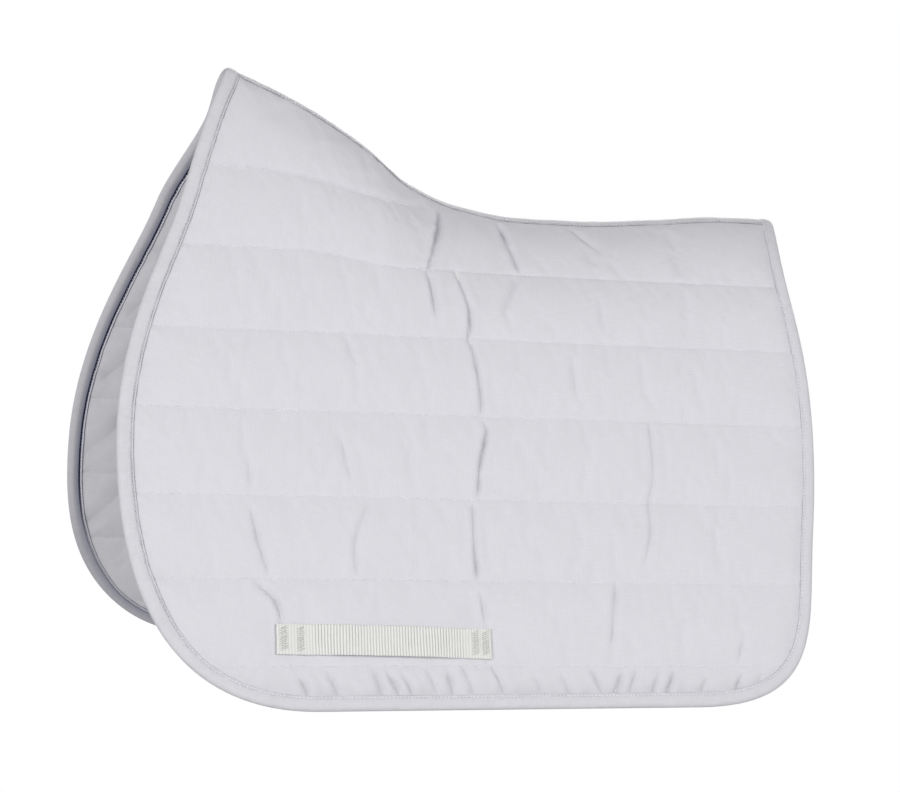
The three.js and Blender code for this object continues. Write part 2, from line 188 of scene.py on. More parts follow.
def nearest_on_line(x, z, points):
    """Distance to a line of points, positive to its left, and how far along it the nearest place is."""
    best = np.full(np.shape(x), 1e9)
    signed, along = np.zeros(np.shape(x)), np.zeros(np.shape(x))
    run = 0.0
    for (x0, z0), (x1, z1) in zip(points[:-1], points[1:]):
        dx, dz = x1 - x0, z1 - z0
        length = math.hypot(dx, dz)
        part = np.clip(((x - x0) * dx + (z - z0) * dz) / length ** 2, 0, 1)
        ex, ez = x - x0 - part * dx, z - z0 - part * dz
        distance = np.hypot(ex, ez)
        nearer = distance < best
        best = np.where(nearer, distance, best)
        signed = np.where(nearer, np.where(dx * ez - dz * ex >= 0, 1, -1) * distance, signed)
        along = np.where(nearer, run + part * length, along)
        run += length
    return signed, along


def inset(x, z):
    """How far inside the edge a point lies."""
    return nearest_on_line(x, z, EDGE_LONG)[0]


BINDING_WIDTH, BINDING_TIGHT = 16, 13.4  # the binding's leaf in front, and along the bottom and the rear


def binding_width(x, z):
    """Width of the binding's leaf beside a point."""
    share = np.maximum(ease(-300, -400, z) * ease(-430, -380, x), ease(0, 200, x))
    return BINDING_WIDTH + (BINDING_TIGHT - BINDING_WIDTH) * share


# ---- meshes

NOISE_CELLS = 64  # the noise repeats after this many cells
LEAN = (9, -18, 0)  # how far the right side's front edge is pushed below the withers
CORNER_LIFT = (0, 0, 11)  # how far the right side's lower front corner is drawn up


def mixed(values, i, j, i_after, j_after, fi, fj):
    """Values of a grid between the columns i and i_after and the lines j and j_after."""
    low = values[i, j] * (1 - fi) + values[i_after, j] * fi
    high = values[i, j_after] * (1 - fi) + values[i_after, j_after] * fi
    return low * (1 - fj) + high * fj


def noise(x, y, size, seed):
    """Smooth value noise, about -1 to 1."""
    table = np.random.default_rng(seed).uniform(-1, 1, (NOISE_CELLS, NOISE_CELLS))
    u, v = np.asarray(x) / size, np.asarray(y) / size
    i, j = np.floor(u).astype(int), np.floor(v).astype(int)
    cells = (i % NOISE_CELLS, j % NOISE_CELLS, (i + 1) % NOISE_CELLS, (j + 1) % NOISE_CELLS)
    return mixed(table, *cells, ease(0, 1, u - i), ease(0, 1, v - j))


def lean_in(points):
    """The right side's front edge leans in just below the withers, and its lower corner is drawn up."""
    x, z = points[:, 0], points[:, 2]
    drop = crest(x) - z
    share = ease(0, 62, drop) * ease(150, 62, drop) * ease(-150, -330, x)
    lift = ease(-280, -430, z) * ease(-110, -330, x)
    return points + share[:, None] * np.array(LEAN, float) + lift[:, None] * np.array(CORNER_LIFT)


def make_mesh(name, points, quads, uv=None, material=None, side=1):
    """A mesh object from points in millimetres; a quad whose last two corners match is a triangle."""
    if name.startswith("right_"):
        points = lean_in(points)
    points = points * (MM, MM * side, MM)
    if side < 0:
        quads = quads[:, ::-1]
        quads = np.where((quads[:, :1] == quads[:, 1:2]), np.roll(quads, -1, 1), quads)
    triangle = quads[:, 2] == quads[:, 3]
    sizes = np.where(triangle, 3, 4)
    keep = np.ones_like(quads, bool)
    keep[triangle, 3] = False
    corners = quads[keep].astype(np.int32)
    mesh = bpy.data.meshes.new(name)
    mesh.vertices.add(len(points))
    mesh.vertices.foreach_set("co", points.astype(np.float32).ravel())
    mesh.loops.add(len(corners))
    mesh.loops.foreach_set("vertex_index", corners)
    mesh.polygons.add(len(sizes))
    starts = np.concatenate([[0], np.cumsum(sizes)[:-1]])
    mesh.polygons.foreach_set("loop_start", starts.astype(np.int32))
    mesh.polygons.foreach_set("use_smooth", np.ones(len(sizes), bool))
    if uv is not None:
        flat = uv[corners] * MM
        mesh.uv_layers.new(name="fabric").data.foreach_set("uv", flat.astype(np.float32).ravel())
    mesh.update(calc_edges=True)
    mesh.validate()
    if material is not None:
        mesh.materials.append(material)
    obj = bpy.data.objects.new(name, mesh)
    bpy.context.scene.collection.objects.link(obj)
    return obj


def store(obj, name, values):
    attribute = obj.data.attributes.new(name, "FLOAT", "POINT")
    attribute.data.foreach_set("value", np.asarray(values, np.float32))


def grid_quads(rows, columns, closed=False):
    """Quads over a rows by columns grid of points; closed joins the last column to the first."""
    i, j = np.meshgrid(np.arange(rows - 1), np.arange(columns - 1 + closed), indexing="ij")
    after = (j + 1) % columns
    quads = [i * columns + j, (i + 1) * columns + j, (i + 1) * columns + after, i * columns + after]
    return np.stack(quads, -1).reshape(-1, 4)


def turned(quads, sign):
    """The quads, facing the other way where the sign is negative."""
    return quads if sign > 0 else quads[:, ::-1]


def cells_where(inside):
    """Quads of a grid whose four corners all lie inside."""
    cell = inside[:-1, :-1] & inside[1:, :-1] & inside[1:, 1:] & inside[:-1, 1:]
    return grid_quads(*inside.shape)[cell.ravel()]


def packed(quads, size):
    """Which of the points the quads use, and the quads numbered by those points only."""
    used = np.unique(quads)
    number = np.full(size, -1)
    number[used] = np.arange(len(used))
    return used, number[quads]


def boundary_edges(quads):
    """Directed edges that belong to one quad only."""
    edges = np.concatenate([quads[:, [k, (k + 1) % 4]] for k in range(4)])
    size = int(quads.max()) + 1
    key = edges[:, 0].astype(np.int64) * size + edges[:, 1]
    back = edges[:, 1].astype(np.int64) * size + edges[:, 0]
    return edges[~np.isin(key, back)]


def closed_sheet(name, front, back, quads, fabric, material, side):
    """A closed sheet: quads over the front points, the same over the back ones, and a wall between."""
    used, quads = packed(quads, len(front))
    rim, count = boundary_edges(quads), len(used)
    walls = np.stack([rim[:, 1], rim[:, 0], rim[:, 0] + count, rim[:, 1] + count], -1)
    faces = np.concatenate([quads, quads[:, ::-1] + count, walls])
    points, uv = np.concatenate([front[used], back[used]]), np.concatenate([fabric[used]] * 2)
    return make_mesh(name, points, faces, uv, material, side), used


def capped_tube(rings):
    """Points and quads of a closed tube through rings of points, shape (rings, corners, 3)."""
    count, corners = rings.shape[:2]
    points = np.concatenate([rings.reshape(-1, 3), rings[[0, -1]].mean(1)])
    j = np.arange(corners)
    after = (j + 1) % corners
    start, last = np.full(corners, count * corners), (count - 1) * corners
    first_cap = np.stack([j, after, start, start], -1)
    last_cap = np.stack([last + after, last + j, start + 1, start + 1], -1)
    return points, np.concatenate([grid_quads(count, corners, closed=True), first_cap, last_cap])


def there_and_back(values):
    """Values across a strip's face, then the same ones back across its other face."""
    return np.concatenate([values, values[..., ::-1]], -1)


def build_strip(name, front, back, run, around, sign, material, side=1):
    """A strip closed round its two faces; run and around are the fabric places along it and round it."""
    points, quads = capped_tube(np.concatenate([front, back[:, ::-1]], 1))
    uv = np.stack(np.broadcast_arrays(run[:, None], around), -1).reshape(-1, 2)
    uv = np.concatenate([uv, uv[:2]])
    return make_mesh(name, points, turned(quads, sign), uv, material, side)


def store_faces(obj, name, values, at_caps=0):
    """Stores values given across a strip's face, the same on its other face."""
    store(obj, name, np.concatenate([there_and_back(values).ravel(), [at_caps, at_caps]]))


def painted_groove_shade(at, stitch_at, spread, hem_at, run, across, seed):
    """Painted shade on a tape along its stitch groove and past its hem."""
    line = np.exp(-((at - stitch_at) / spread) ** 2) + 0.9 * (at > hem_at)
    return line * np.clip(0.8 + 0.45 * noise(run, across * 3, 6, seed + 3), 0, 1)


def run_along(points):
    """The length along a line of points at each one."""
    return np.concatenate([[0], np.cumsum(np.linalg.norm(np.diff(points, axis=0), axis=1))])


def resampled(points, step):
    """The line with points a step apart, and the length along it of each."""
    length = run_along(points)
    at = np.linspace(0, length[-1], max(2, int(round(length[-1] / step)) + 1))
    return np.stack([np.interp(at, length, points[:, k]) for k in range(points.shape[1])], -1), at


# ---- quilting rows and the grid of one half

ROW_HEIGHTS = [-116, -190, -268, -342, -418]  # the level rows
CURVED_ROW = ((-270, -38), (-170, -50))  # the row above them, level before and after these points
SHOULDER_ROW = np.array([(-356, 41), (-307, 40), (-267, 36), (-216, 25), (-162, 15), (-136, 14)], float)
COLUMN_STEP, COLUMN_RANGE = 5.1, (-456, 257)  # the grid's columns along x
CHANNEL_LINES = [26, 16, 15, 16, 15, 16, 9]  # the grid's lines from one row to the next
FIRST_LINE = 0.3  # q of the line beside the middle plane
BELOW_PAD = -464  # z of the last line
ROW_REACH = 3  # lines over which the fine grid is drawn towards a row
SHOULDER_STRETCH = 1.2  # fabric for each millimetre in x and z beside the shoulder row

shoulder_row = monotone(SHOULDER_ROW[:, 0], SHOULDER_ROW[:, 1])


def curved_row(x):
    (x0, z0), (x1, z1) = CURVED_ROW
    return z0 + (z1 - z0) * ease(x0, x1, x)


def row_lines():
    """Each row as x and z, the shoulder row first."""
    near, x = np.linspace(*SHOULDER_ROW[[0, -1], 0], 120), np.linspace(-455, 256, 360)
    level = [(x, np.full(len(x), float(z))) for z in ROW_HEIGHTS]
    return [(near, shoulder_row(near)), (x, curved_row(x))] + level


def row_distance(x, z):
    """Distance to the nearest quilting row, measured on the fabric."""
    best = np.abs(z - curved_row(x))
    for height in ROW_HEIGHTS:
        best = np.minimum(best, np.abs(z - height))
    shoulder = [(at, float(shoulder_row(at))) for at in np.linspace(*SHOULDER_ROW[[0, -1], 0], 23)]
    beside = np.abs(nearest_on_line(x, z, shoulder)[0])
    return np.minimum(best * SLOPE_LENGTH, beside * SHOULDER_STRETCH)


def column_grid():
    """The grid's x and q, with a line on every row."""
    x = COLUMN_RANGE[0] + COLUMN_STEP * np.arange(int(np.ptp(COLUMN_RANGE) / COLUMN_STEP) + 1)
    marks = [np.full(len(x), FIRST_LINE)]
    marks += [across_at(crest(x) - z) for z in [curved_row(x), *ROW_HEIGHTS, BELOW_PAD]]
    lines = [marks[0][:, None]]
    for low, high, number in zip(marks[:-1], marks[1:], CHANNEL_LINES):
        part = np.arange(1, number + 1) / number
        lines.append(low[:, None] + (high - low)[:, None] * part)
    q = np.concatenate(lines, 1)
    snap_shoulder_row(x, q)
    return np.repeat(x[:, None], q.shape[1], 1), q


def snap_shoulder_row(x, q):
    """Moves one grid point in each column onto the shoulder row."""
    for i in np.nonzero((x > SHOULDER_ROW[0, 0]) & (x < SHOULDER_ROW[-1, 0]))[0]:
        target = across_at(crest(x[i]) - shoulder_row(x[i]))
        j = 1 + np.argmin(np.abs(q[i, 1:CHANNEL_LINES[0]] - target))
        q[i, j] = target


def refine(values, cubic=True):
    """Twice as many rows and columns, by cubic or straight midpoints."""
    for axis in (0, 1):
        v = np.moveaxis(values, axis, 0)
        middle = (v[:-1] + v[1:]) / 2
        if cubic:
            padded = np.concatenate([2 * v[:1] - v[1:2], v, 2 * v[-1:] - v[-2:-1]])
            middle = (9 * (v[:-1] + v[1:]) - padded[:-3] - padded[3:]) / 16
        out = np.empty((2 * len(v) - 1,) + v.shape[1:])
        out[0::2], out[1::2] = v, middle
        values = np.moveaxis(out, 0, axis)
    return values


def lines_at(values, j):
    """The grid's values at fractional lines, the same for every column."""
    low = np.clip(np.floor(j).astype(int), 0, values.shape[1] - 2)
    part = (j - low).reshape((-1,) + (1,) * (values.ndim - 2))
    return values[:, low] * (1 - part) + values[:, low + 1] * part


def columns_at(values, i):
    """The grid's values at fractional columns, one for every point."""
    low = np.clip(np.floor(i).astype(int), 0, values.shape[0] - 2)
    part = (i - low).reshape(i.shape + (1,) * (values.ndim - 2))
    lines = np.broadcast_to(np.arange(values.shape[1]), i.shape)
    return values[low, lines] * (1 - part) + values[low + 1, lines] * part


# ---- the girth keeper's place

STRAP_MIDDLE, STRAP_RUN = (-207.5, -397), (203, -4)  # its middle and its direction, in x and z
STRAP_LENGTH, STRAP_WIDTH = 203, 28
FRONT_SEWN, REAR_SEWN = 27, 21  # lengths of its sewn ends


def strap_axes():
    """The strap's middle, and its directions along, down the flap and away from it."""
    x, z = np.array(STRAP_MIDDLE, float)
    q = across_at(crest(x) - z)
    away = outer_normal(x, q)
    along = np.array([STRAP_RUN[0], 0.0, STRAP_RUN[1]])
    along[1] = -(away[0] * along[0] + away[2] * along[2]) / away[1]
    along = unit(along)
    return outer_point(x, q), along, np.cross(away, along), away


STRAP_AT, STRAP_ALONG, STRAP_DOWN, STRAP_AWAY = strap_axes()


def strap_end_distance(points):
    """Distance on the flap to the strap's sewn ends."""
    offset = points - STRAP_AT
    u, v = offset @ STRAP_ALONG, offset @ STRAP_DOWN
    best = np.full(u.shape, 1e9)
    half = STRAP_LENGTH / 2
    for low, high in ((-half, -half + FRONT_SEWN), (half - REAR_SEWN, half)):
        du = np.maximum(np.maximum(low - u, u - high), 0)
        dv = np.maximum(np.abs(v) - STRAP_WIDTH / 2, 0)
        best = np.minimum(best, np.hypot(du, dv))
    return best


# ---- folds

# A fold is a line of (x, z) going down the flap, its depth, and the widths of its two walls,
# towards the front and towards the rear
LEFT_CREASES = [
    ([(-114, -50), (-105, -89), (-108, -119)], 2.7, 0.9, 1.7),
    ([(-108, -119), (-104, -128), (-99, -180), (-105, -189)], 2.6, 1.2, 1.4),
    ([(-99, -195), (-96, -204), (-105, -236), (-108, -266)], 2.5, 1.1, 1.5),
    ([(-114, -272), (-116, -315), (-113, -342)], 2.4, 1.2, 1.5),
    ([(-113, -351), (-109, -382)], 2.6, 1.0, 2.6),
    ([(-118, 12), (-143, -50)], 3.6, 0.7, 4.2),
    ([(-144, -52), (-139, -98)], 2.2, 0.9, 2.8),
    ([(-56, 4), (-46, -49)], 2.2, 1.8, 1.8),
    ([(-50, -54), (-69, -90)], 1.5, 2.6, 1.4),
    ([(22, 0), (43, -22)], 1.2, 1.2, 2.6),
    ([(-329, -238), (-327, -263)], 1.0, 1.4, 2.0),
    ([(-328, -280), (-323, -306), (-313, -339)], 1.5, 1.2, 2.0),
    ([(-325, -346), (-309, -361), (-302, -383)], 2.4, 0.9, 1.9),
    ([(-232, -114), (-222, -147)], 0.6, 2.0, 2.6),
    ([(-241, -212), (-232, -253)], 0.9, 1.6, 2.2),
    ([(-215, -271), (-230, -307), (-230, -339)], 0.9, 1.6, 2.2),
    ([(-4, -134), (-1, -167)], 0.5, 2.2, 2.6),
    ([(72, -189), (71, -246), (65, -265), (64, -294), (54, -326)], 1.1, 1.4, 2.2),
    ([(24, -342), (14, -400)], 1.5, 1.4, 2.0),
    ([(-300, -412), (-291, -421)], 1.3, 1.2, 2.0),
    ([(-207, -413), (-209, -422)], 1.0, 1.2, 2.0),
    ([(-114, -411), (-106, -421)], 1.4, 1.2, 2.0),
    ([(150, -392), (142, -417)], 1.0, 1.4, 2.4),
]
RIGHT_CREASES = [
    ([(-88, -52), (-92, -114)], 1.7, 1.4, 2.0),
    ([(-92, -118), (-84, -188)], 1.7, 1.5, 1.9),
    ([(-84, -194), (-95, -266)], 1.6, 1.4, 1.9),
    ([(-98, -272), (-92, -340)], 1.2, 1.5, 2.2),
    ([(-128, 8), (-150, -60)], 2.2, 1.2, 4.0),
    ([(-45, 0), (-60, -86)], 1.1, 2.2, 2.4),
    ([(-300, -194), (-318, -262)], 0.9, 1.8, 2.4),
    ([(95, -194), (84, -264)], 0.9, 1.8, 2.4),
    ([(40, -346), (34, -410)], 1.0, 1.8, 2.4),
]
LINING_CREASES = [
    ([(-104, -42), (-100, -112)], 1.2, 1.8, 2.4),
    ([(-96, -196), (-106, -264)], 1.1, 1.8, 2.4),
    ([(-366, -62), (-404, -108)], 1.2, 8.0, 10.0),
    ([(-372, -122), (-426, -176)], 1.4, 8.0, 10.0),
    ([(-378, -196), (-434, -250)], 1.5, 8.0, 10.0),
    ([(-380, -276), (-428, -328)], 1.4, 8.0, 10.0),
    ([(60, -196), (52, -262)], 0.9, 1.8, 2.4),
]
# Short slanted puckers in the lowest channel, as x and strength
LEFT_PUCKERS = [
    (-284, 1.0), (-256, 0.8), (-214, 0.9), (-199, 1.2), (-186, 0.8), (-162, 0.7), (-146, 0.9),
    (-127, 1.0), (-97, 1.6), (-60, 0.6), (-33, 0.9), (-1, 0.9), (17, 1.6), (31, 0.8),
    (54, 0.9), (69, 1.0), (104, 1.1), (139, 1.2), (160, 0.5),
]
RIGHT_PUCKERS = [
    (-296, 0.8), (-262, 1.0), (-241, 0.7), (-207, 0.9), (-176, 0.8), (-150, 0.9), (-121, 1.2),
    (-84, 0.9), (-40, 1.1), (-8, 0.8), (22, 1.2), (48, 0.8), (80, 0.9), (118, 0.7),
]
PUCKER_TURN = 10  # puckers slant towards the rear in front of this x, and towards the front behind it
PUCKER_DEPTH, PUCKER_WALLS, PUCKER_HEIGHTS = 2.6, (1.2, 2.3), (-422, -436, -457)
FOLD_SCALE, SWELLING = 1.3, 0.26  # for every fold's depth, and for the swelling beside it
FOLD_END = 14  # a fold fades out this far from its line
SHADED_FULLY = 2.4  # a fold this deep gets the full painted shade
FOLD_REACH, PUCKER_REACH = 14, 6  # the grid is drawn towards a fold from this far


def pucker_creases(puckers):
    """The puckers as short folds from the lowest row down to the binding."""
    high, middle, low = PUCKER_HEIGHTS
    folds = []
    for at, strength in puckers:
        lean, top = 4.0 + 4.5 * abs(math.sin(at * 1.7)), high - 4 * math.cos(at * 2.3)
        lean = lean if at < PUCKER_TURN else -lean
        line = [(at - lean, top), (at, middle), (at + lean, low)]
        folds.append((line, PUCKER_DEPTH * strength, *PUCKER_WALLS))
    return folds


def bent_line(points):
    """A smooth line through the points, a Catmull-Rom curve in short straight pieces."""
    p = np.array(points, float)
    if len(p) < 3:
        return p
    p = np.concatenate([[2 * p[0] - p[1]], p, [2 * p[-1] - p[-2]]])
    t = np.linspace(0, 1, 4, endpoint=False)[:, None]
    pieces = [
        b + 0.5 * t * (c - a + t * (2 * a - 5 * b + 4 * c - d + t * (3 * (b - c) + d - a)))
        for a, b, c, d in zip(p[:-3], p[1:-2], p[2:-1], p[3:])
    ]
    return np.concatenate(pieces + [p[-2:-1]])


def folds_at(x, z, creases):
    """For each fold: its depth, how much of it is here, its wall's width and the distance to it."""
    for points, depth, front_wall, rear_wall in creases:
        line = bent_line(points)
        signed, along = nearest_on_line(x, z, line)
        length = sum(math.dist(a, b) for a, b in zip(line[:-1], line[1:]))
        share = ease(-4, 12, along) * ease(-4, 12, length - along)
        share = share * (0.85 + 0.35 * noise(along, 0 * along, 13, int(abs(line[0][0]))))
        wall = np.where(signed > 0, rear_wall, front_wall)
        yield depth, share, wall, np.hypot(signed, 0.5) - 0.5


def fold_depth(x, z, creases):
    """Depth of the folds, with a low swelling beside each one."""
    total = np.zeros(np.shape(x))
    for depth, share, wall, distance in folds_at(x, z, creases):
        valley = np.exp(-distance / wall) * ease(FOLD_END, FOLD_END / 2, distance)
        swelling = np.exp(-(((distance - 2.6 * wall - 1) / (1.5 * wall)) ** 2))
        total = total + FOLD_SCALE * depth * share * (valley - SWELLING * swelling)
    return total


def fold_painted_shade(x, z, creases):
    """The painted shade in the folds' hollows, 0 to 1."""
    dark = np.zeros(np.shape(x))
    for depth, share, wall, distance in folds_at(x, z, creases):
        dark = np.maximum(dark, share * min(1.0, depth / SHADED_FULLY) * np.exp(-distance / wall))
    return dark


def draw_in(x, z, creases, reach):
    """The grid's x drawn towards the folds, so that their sharp lines have points on them."""
    for points, *_ in creases:
        line = bent_line(points)[::-1]
        at = np.interp(z, line[:, 1], line[:, 0])
        within = ease(line[0, 1] - 12, line[0, 1], z) * ease(line[-1, 1] + 12, line[-1, 1], z)
        t = (x - at) / reach
        drawn = at + reach * np.sign(t) * np.abs(t) ** (1 + 0.8 * within)
        x = np.where(np.abs(t) < 1, drawn, x)
    return x


# ---- cover and lining

PAD_DEPTH = 9  # from the outer surface to the inner one
SEAM_OUT, SEAM_IN = 2.9, 6.1  # depths of cover and lining where they are sewn together
TAPE_OUT, TAPE_IN = 1.7, 7.3  # depths of cover and lining under the spine tapes
TAPE_HALF = 19.4  # q of the spine tapes' edges
PUFF, PUFF_REACH = 1.9, 12  # how far the fabric stands off between seams before the simulation
FOLD_IN_CLOTH = 0.4  # share of a fold that is there before the simulation
EDGE_KEEP = 3.5  # the sheets end this far inside the edge, within the binding
SHEET_THICKNESS = 0.6
ROW_DIP, GATHER, WAVES, RIPPLES, TAPE_GATHER = 0.45, 0.35, 0.4, 0.16, 0.6  # heights of the fine shapes
WADDING_STEP = 4  # its grid has every fourth line of the skins' grid
WADDING_GAP, WADDING_LEAST, WADDING_INSET = 0.9, 0.3, 9  # to the skins, its thickness, and to the edge
CLOTH_FRAMES = 20
CLOTH_CAP = 6.5  # furthest a point may move, in millimetres
CLOTH = {
    "quality": 5, "mass": 0.25, "tension_stiffness": 20, "compression_stiffness": 20,
    "shear_stiffness": 8, "bending_stiffness": 0.6, "air_damping": 3, "use_pressure": True,
    "uniform_pressure_force": 3.0, "vertex_group_mass": "pin", "shrink_min": -0.003,
}


def drape(points, quads, pinned):
    """Points after the fabric has been blown up between its seams by cloth simulation."""
    obj = make_mesh("cloth_work", points, quads)
    obj.vertex_groups.new(name="pin").add(np.nonzero(pinned)[0].tolist(), 1.0, "REPLACE")
    cloth = obj.modifiers.new("cloth", "CLOTH")
    for name, value in CLOTH.items():
        setattr(cloth.settings, name, value)
    cloth.settings.effector_weights.gravity = 0
    cloth.collision_settings.use_collision = False
    cloth.point_cache.frame_start = 1
    cloth.point_cache.frame_end = CLOTH_FRAMES
    scene = bpy.context.scene
    for number in range(1, CLOTH_FRAMES + 1):
        scene.frame_set(number)
    evaluated = obj.evaluated_get(bpy.context.evaluated_depsgraph_get())
    moved = np.zeros(len(points) * 3, np.float32)
    evaluated.data.vertices.foreach_get("co", moved)
    mesh = obj.data
    bpy.data.objects.remove(obj)
    bpy.data.meshes.remove(mesh)
    scene.frame_set(1)
    step = moved.reshape(-1, 3) / MM - points
    length = np.linalg.norm(step, axis=1, keepdims=True)
    return points + step * np.minimum(1, CLOTH_CAP / np.maximum(length, 1e-6))


class Skin:
    """The cover or the lining of one half: its points on a fine grid, and which way they face."""

    def __init__(self, outward, creases, puckers, seed):
        self.outward = outward
        folds = pucker_creases(puckers)
        x, q = column_grid()
        base = outer_point(x, q)
        z = base[..., 2]
        edge = inset(x, z)
        depth, seam = self.rest_depth(x, q, z, edge, base)
        depth = depth + outward * FOLD_IN_CLOTH * fold_depth(x, z, creases)
        points = base - depth[..., None] * outer_normal(x, q)
        points = self.simulate(points, edge, seam)
        x, q = refine(x, cubic=False), refine(q, cubic=False)
        self.set_grid(x, q, refine(points - base), creases, folds)
        self.base = outer_point(self.x, self.q)
        self.normals = outer_normal(self.x, self.q)
        self.z = self.base[..., 2]
        self.edge = inset(self.x, self.z)
        self.points = self.base + self.shift
        self.points -= self.detail(creases + folds, seed)[..., None] * self.normals * outward
        self.painted_shade = self.painted_shading(creases + folds, seed)
        along, across = np.gradient(self.points, axis=0), np.gradient(self.points, axis=1)
        self.facing = outward * unit(np.cross(along, across))

    def set_grid(self, x, q, shift, creases, folds):
        """The fine grid, drawn together near the rows and the folds."""
        j = np.arange(x.shape[1], dtype=float)
        for row in 2 * np.cumsum(CHANNEL_LINES)[:-1]:
            t = (j - row) / ROW_REACH
            j = np.where(np.abs(t) < 1, row + ROW_REACH * np.sign(t) * np.abs(t) ** 1.5, j)
        q, shift = lines_at(q, j), lines_at(shift, j)
        z = crest(x) - drop_at(q)
        self.x = draw_in(draw_in(x, z, creases, FOLD_REACH), z, folds, PUCKER_REACH)
        i = (self.x - COLUMN_RANGE[0]) / (COLUMN_STEP / 2)
        self.q, self.shift = columns_at(q, i), columns_at(shift, i)

    def rest_depth(self, x, q, z, edge, base):
        """Depth of the skin before the simulation, and the distance to its nearest seam."""
        past_tape = np.maximum(q - TAPE_HALF, 0)
        seam = np.minimum(row_distance(x, z), np.maximum(edge - binding_width(x, z) + 1, 0))
        seam = np.minimum(seam, past_tape)
        sewn, taped = SEAM_IN, TAPE_IN
        if self.outward > 0:
            seam = np.minimum(seam, strap_end_distance(base))
            sewn, taped = SEAM_OUT, TAPE_OUT
        level = sewn + (taped - sewn) * np.exp(-((past_tape / PUFF_REACH) ** 2))
        return level - self.outward * PUFF * (1 - np.exp(-seam / PUFF_REACH)), seam

    def simulate(self, points, edge, seam):
        """The points draped, held where they are sewn."""
        quads = cells_where(edge > 1)
        used, quads = packed(turned(quads, self.outward), edge.size)
        flat = points.reshape(-1, 3).copy()
        flat[used] = drape(flat[used], quads, seam.ravel()[used] < 1.0)
        return flat.reshape(points.shape)

    def detail(self, creases, seed):
        """Fine shape along the normal, positive into the pad: rows, gathers, waves and folds."""
        x, z, q, edge = self.x, self.z, self.q, self.edge
        rows, width, arc = row_distance(x, z), binding_width(x, z), q * SLOPE_LENGTH
        clear = ease(width - 1, width + 10, edge) * ease(TAPE_HALF, TAPE_HALF + 10, q)
        gather = GATHER * noise(x, 7 * np.round(z / 30), 11, seed + 1) * np.exp(-rows / 10)
        waves = WAVES * noise(x, arc, 55, seed + 2) * (1 - np.exp(-rows / 15))
        ripples = RIPPLES * noise(x, arc, 17, seed + 3)
        tape_gather = noise(x, 0 * x, 9, seed + 4) * np.exp(-np.maximum(q - TAPE_HALF, 0) / 9)
        hem_gather = noise(x + 1.7 * z, x - z, 9, seed + 6) * np.exp(-np.maximum(edge - width, 0) / 7)
        hem_gather = hem_gather * (0.3 + 0.5 * ease(-420, -436, z)) * ease(width - 1, width + 2, edge)
        depth = ROW_DIP * np.exp(-rows / 1.2) * (edge > 8) + (gather + waves + ripples) * clear
        depth = depth + TAPE_GATHER * tape_gather * ease(TAPE_HALF, TAPE_HALF + 6, q) + hem_gather
        folds = fold_depth(x, z, creases) * ease(width - 2, width + 3, edge)
        return depth + folds * ease(TAPE_HALF - 1, TAPE_HALF + 8, q)

    def painted_shading(self, creases, seed):
        """Painted shade in the fabric's folds and beside the binding, stronger along the bottom, 0 to 1.
        """
        x, z = self.x, self.z
        # painted shade on the fabric beside the binding, stronger along the bottom
        hem = np.exp(-np.maximum(self.edge - binding_width(x, z), 0) / 8)
        hem = hem * (0.22 + 0.38 * ease(-418, -436, z)) * (1 + 0.5 * noise(x, z, 8, seed + 8))
        return np.clip(np.maximum(fold_painted_shade(x, z, creases), hem), 0, 1)

    def depth(self):
        """How far the skin lies below the outer surface."""
        return -((self.points - self.base) * self.normals).sum(-1)

    def locate(self, x, q):
        """Fractional grid places of points given by x and q."""
        count_i, count_j = self.q.shape
        column = np.clip(np.round((x - COLUMN_RANGE[0]) / (COLUMN_STEP / 2)), 0, count_i - 1)
        i, j = column, np.zeros(len(x))
        for k in range(len(x)):
            for _ in range(3):
                j[k] = np.interp(q[k], self.q[int(round(i[k]))], np.arange(count_j))
                i[k] = np.interp(x[k], self.x[:, int(round(j[k]))], np.arange(count_i))
        return np.clip(i, 0, count_i - 1.001), np.clip(j, 0, count_j - 1.001)

    def on_surface(self, x, z):
        """Points and facing directions of the skin at places given by x and z."""
        i, j = self.locate(x, across_at(crest(x) - z))
        i0, j0 = np.floor(i).astype(int), np.floor(j).astype(int)
        cells = (i0, j0, i0 + 1, j0 + 1, (i - i0)[:, None], (j - j0)[:, None])
        return mixed(self.points, *cells), unit(mixed(self.facing, *cells))

    def trimmed(self):
        """The points with the rim drawn to a clean line inside the binding, and the quads within it."""
        quads = cells_where(self.edge > EDGE_KEEP)
        rim = np.zeros(self.edge.size, bool)
        rim[np.unique(boundary_edges(quads))] = True
        rim &= (self.q.ravel() > 1) & (self.edge.ravel() < EDGE_KEEP + 8)
        x, z = self.x.ravel()[rim], self.z.ravel()[rim]
        step = 0.5
        gx = inset(x + step, z) - inset(x - step, z)
        gz = inset(x, z + step) - inset(x, z - step)
        over = (self.edge.ravel()[rim] - EDGE_KEEP) / np.maximum(np.hypot(gx, gz), 1e-6)
        x, z = x - over * gx, z - over * gz
        points = self.points.reshape(-1, 3).copy()
        points[rim] = outer_point(x, across_at(crest(x) - z)) + self.shift.reshape(-1, 3)[rim]
        return points, quads


def build_sheet(name, skin, side, material):
    """The skin as a thin closed sheet of fabric."""
    front, quads = skin.trimmed()
    back = front - SHEET_THICKNESS * skin.outward * skin.normals.reshape(-1, 3)
    fabric = np.stack([skin.x.ravel(), SLOPE_LENGTH * skin.q.ravel()], -1)
    obj, used = closed_sheet(name, front, back, turned(quads, skin.outward), fabric, material, side)
    dark = skin.painted_shade.ravel()[used]
    # the painted shade for the material, none on the back face
    store(obj, "painted_shade", np.concatenate([dark, 0 * dark]))
    return obj


def block_extreme(values, pick):
    """The deepest or shallowest value near each point of the wadding's coarse grid."""
    reach = WADDING_STEP
    padded = np.pad(values, reach, mode="edge")
    rows, columns = values.shape
    best = values
    for i in range(2 * reach + 1):
        for j in range(2 * reach + 1):
            best = pick(best, padded[i:i + rows, j:j + columns])
    return best[::reach, ::reach]


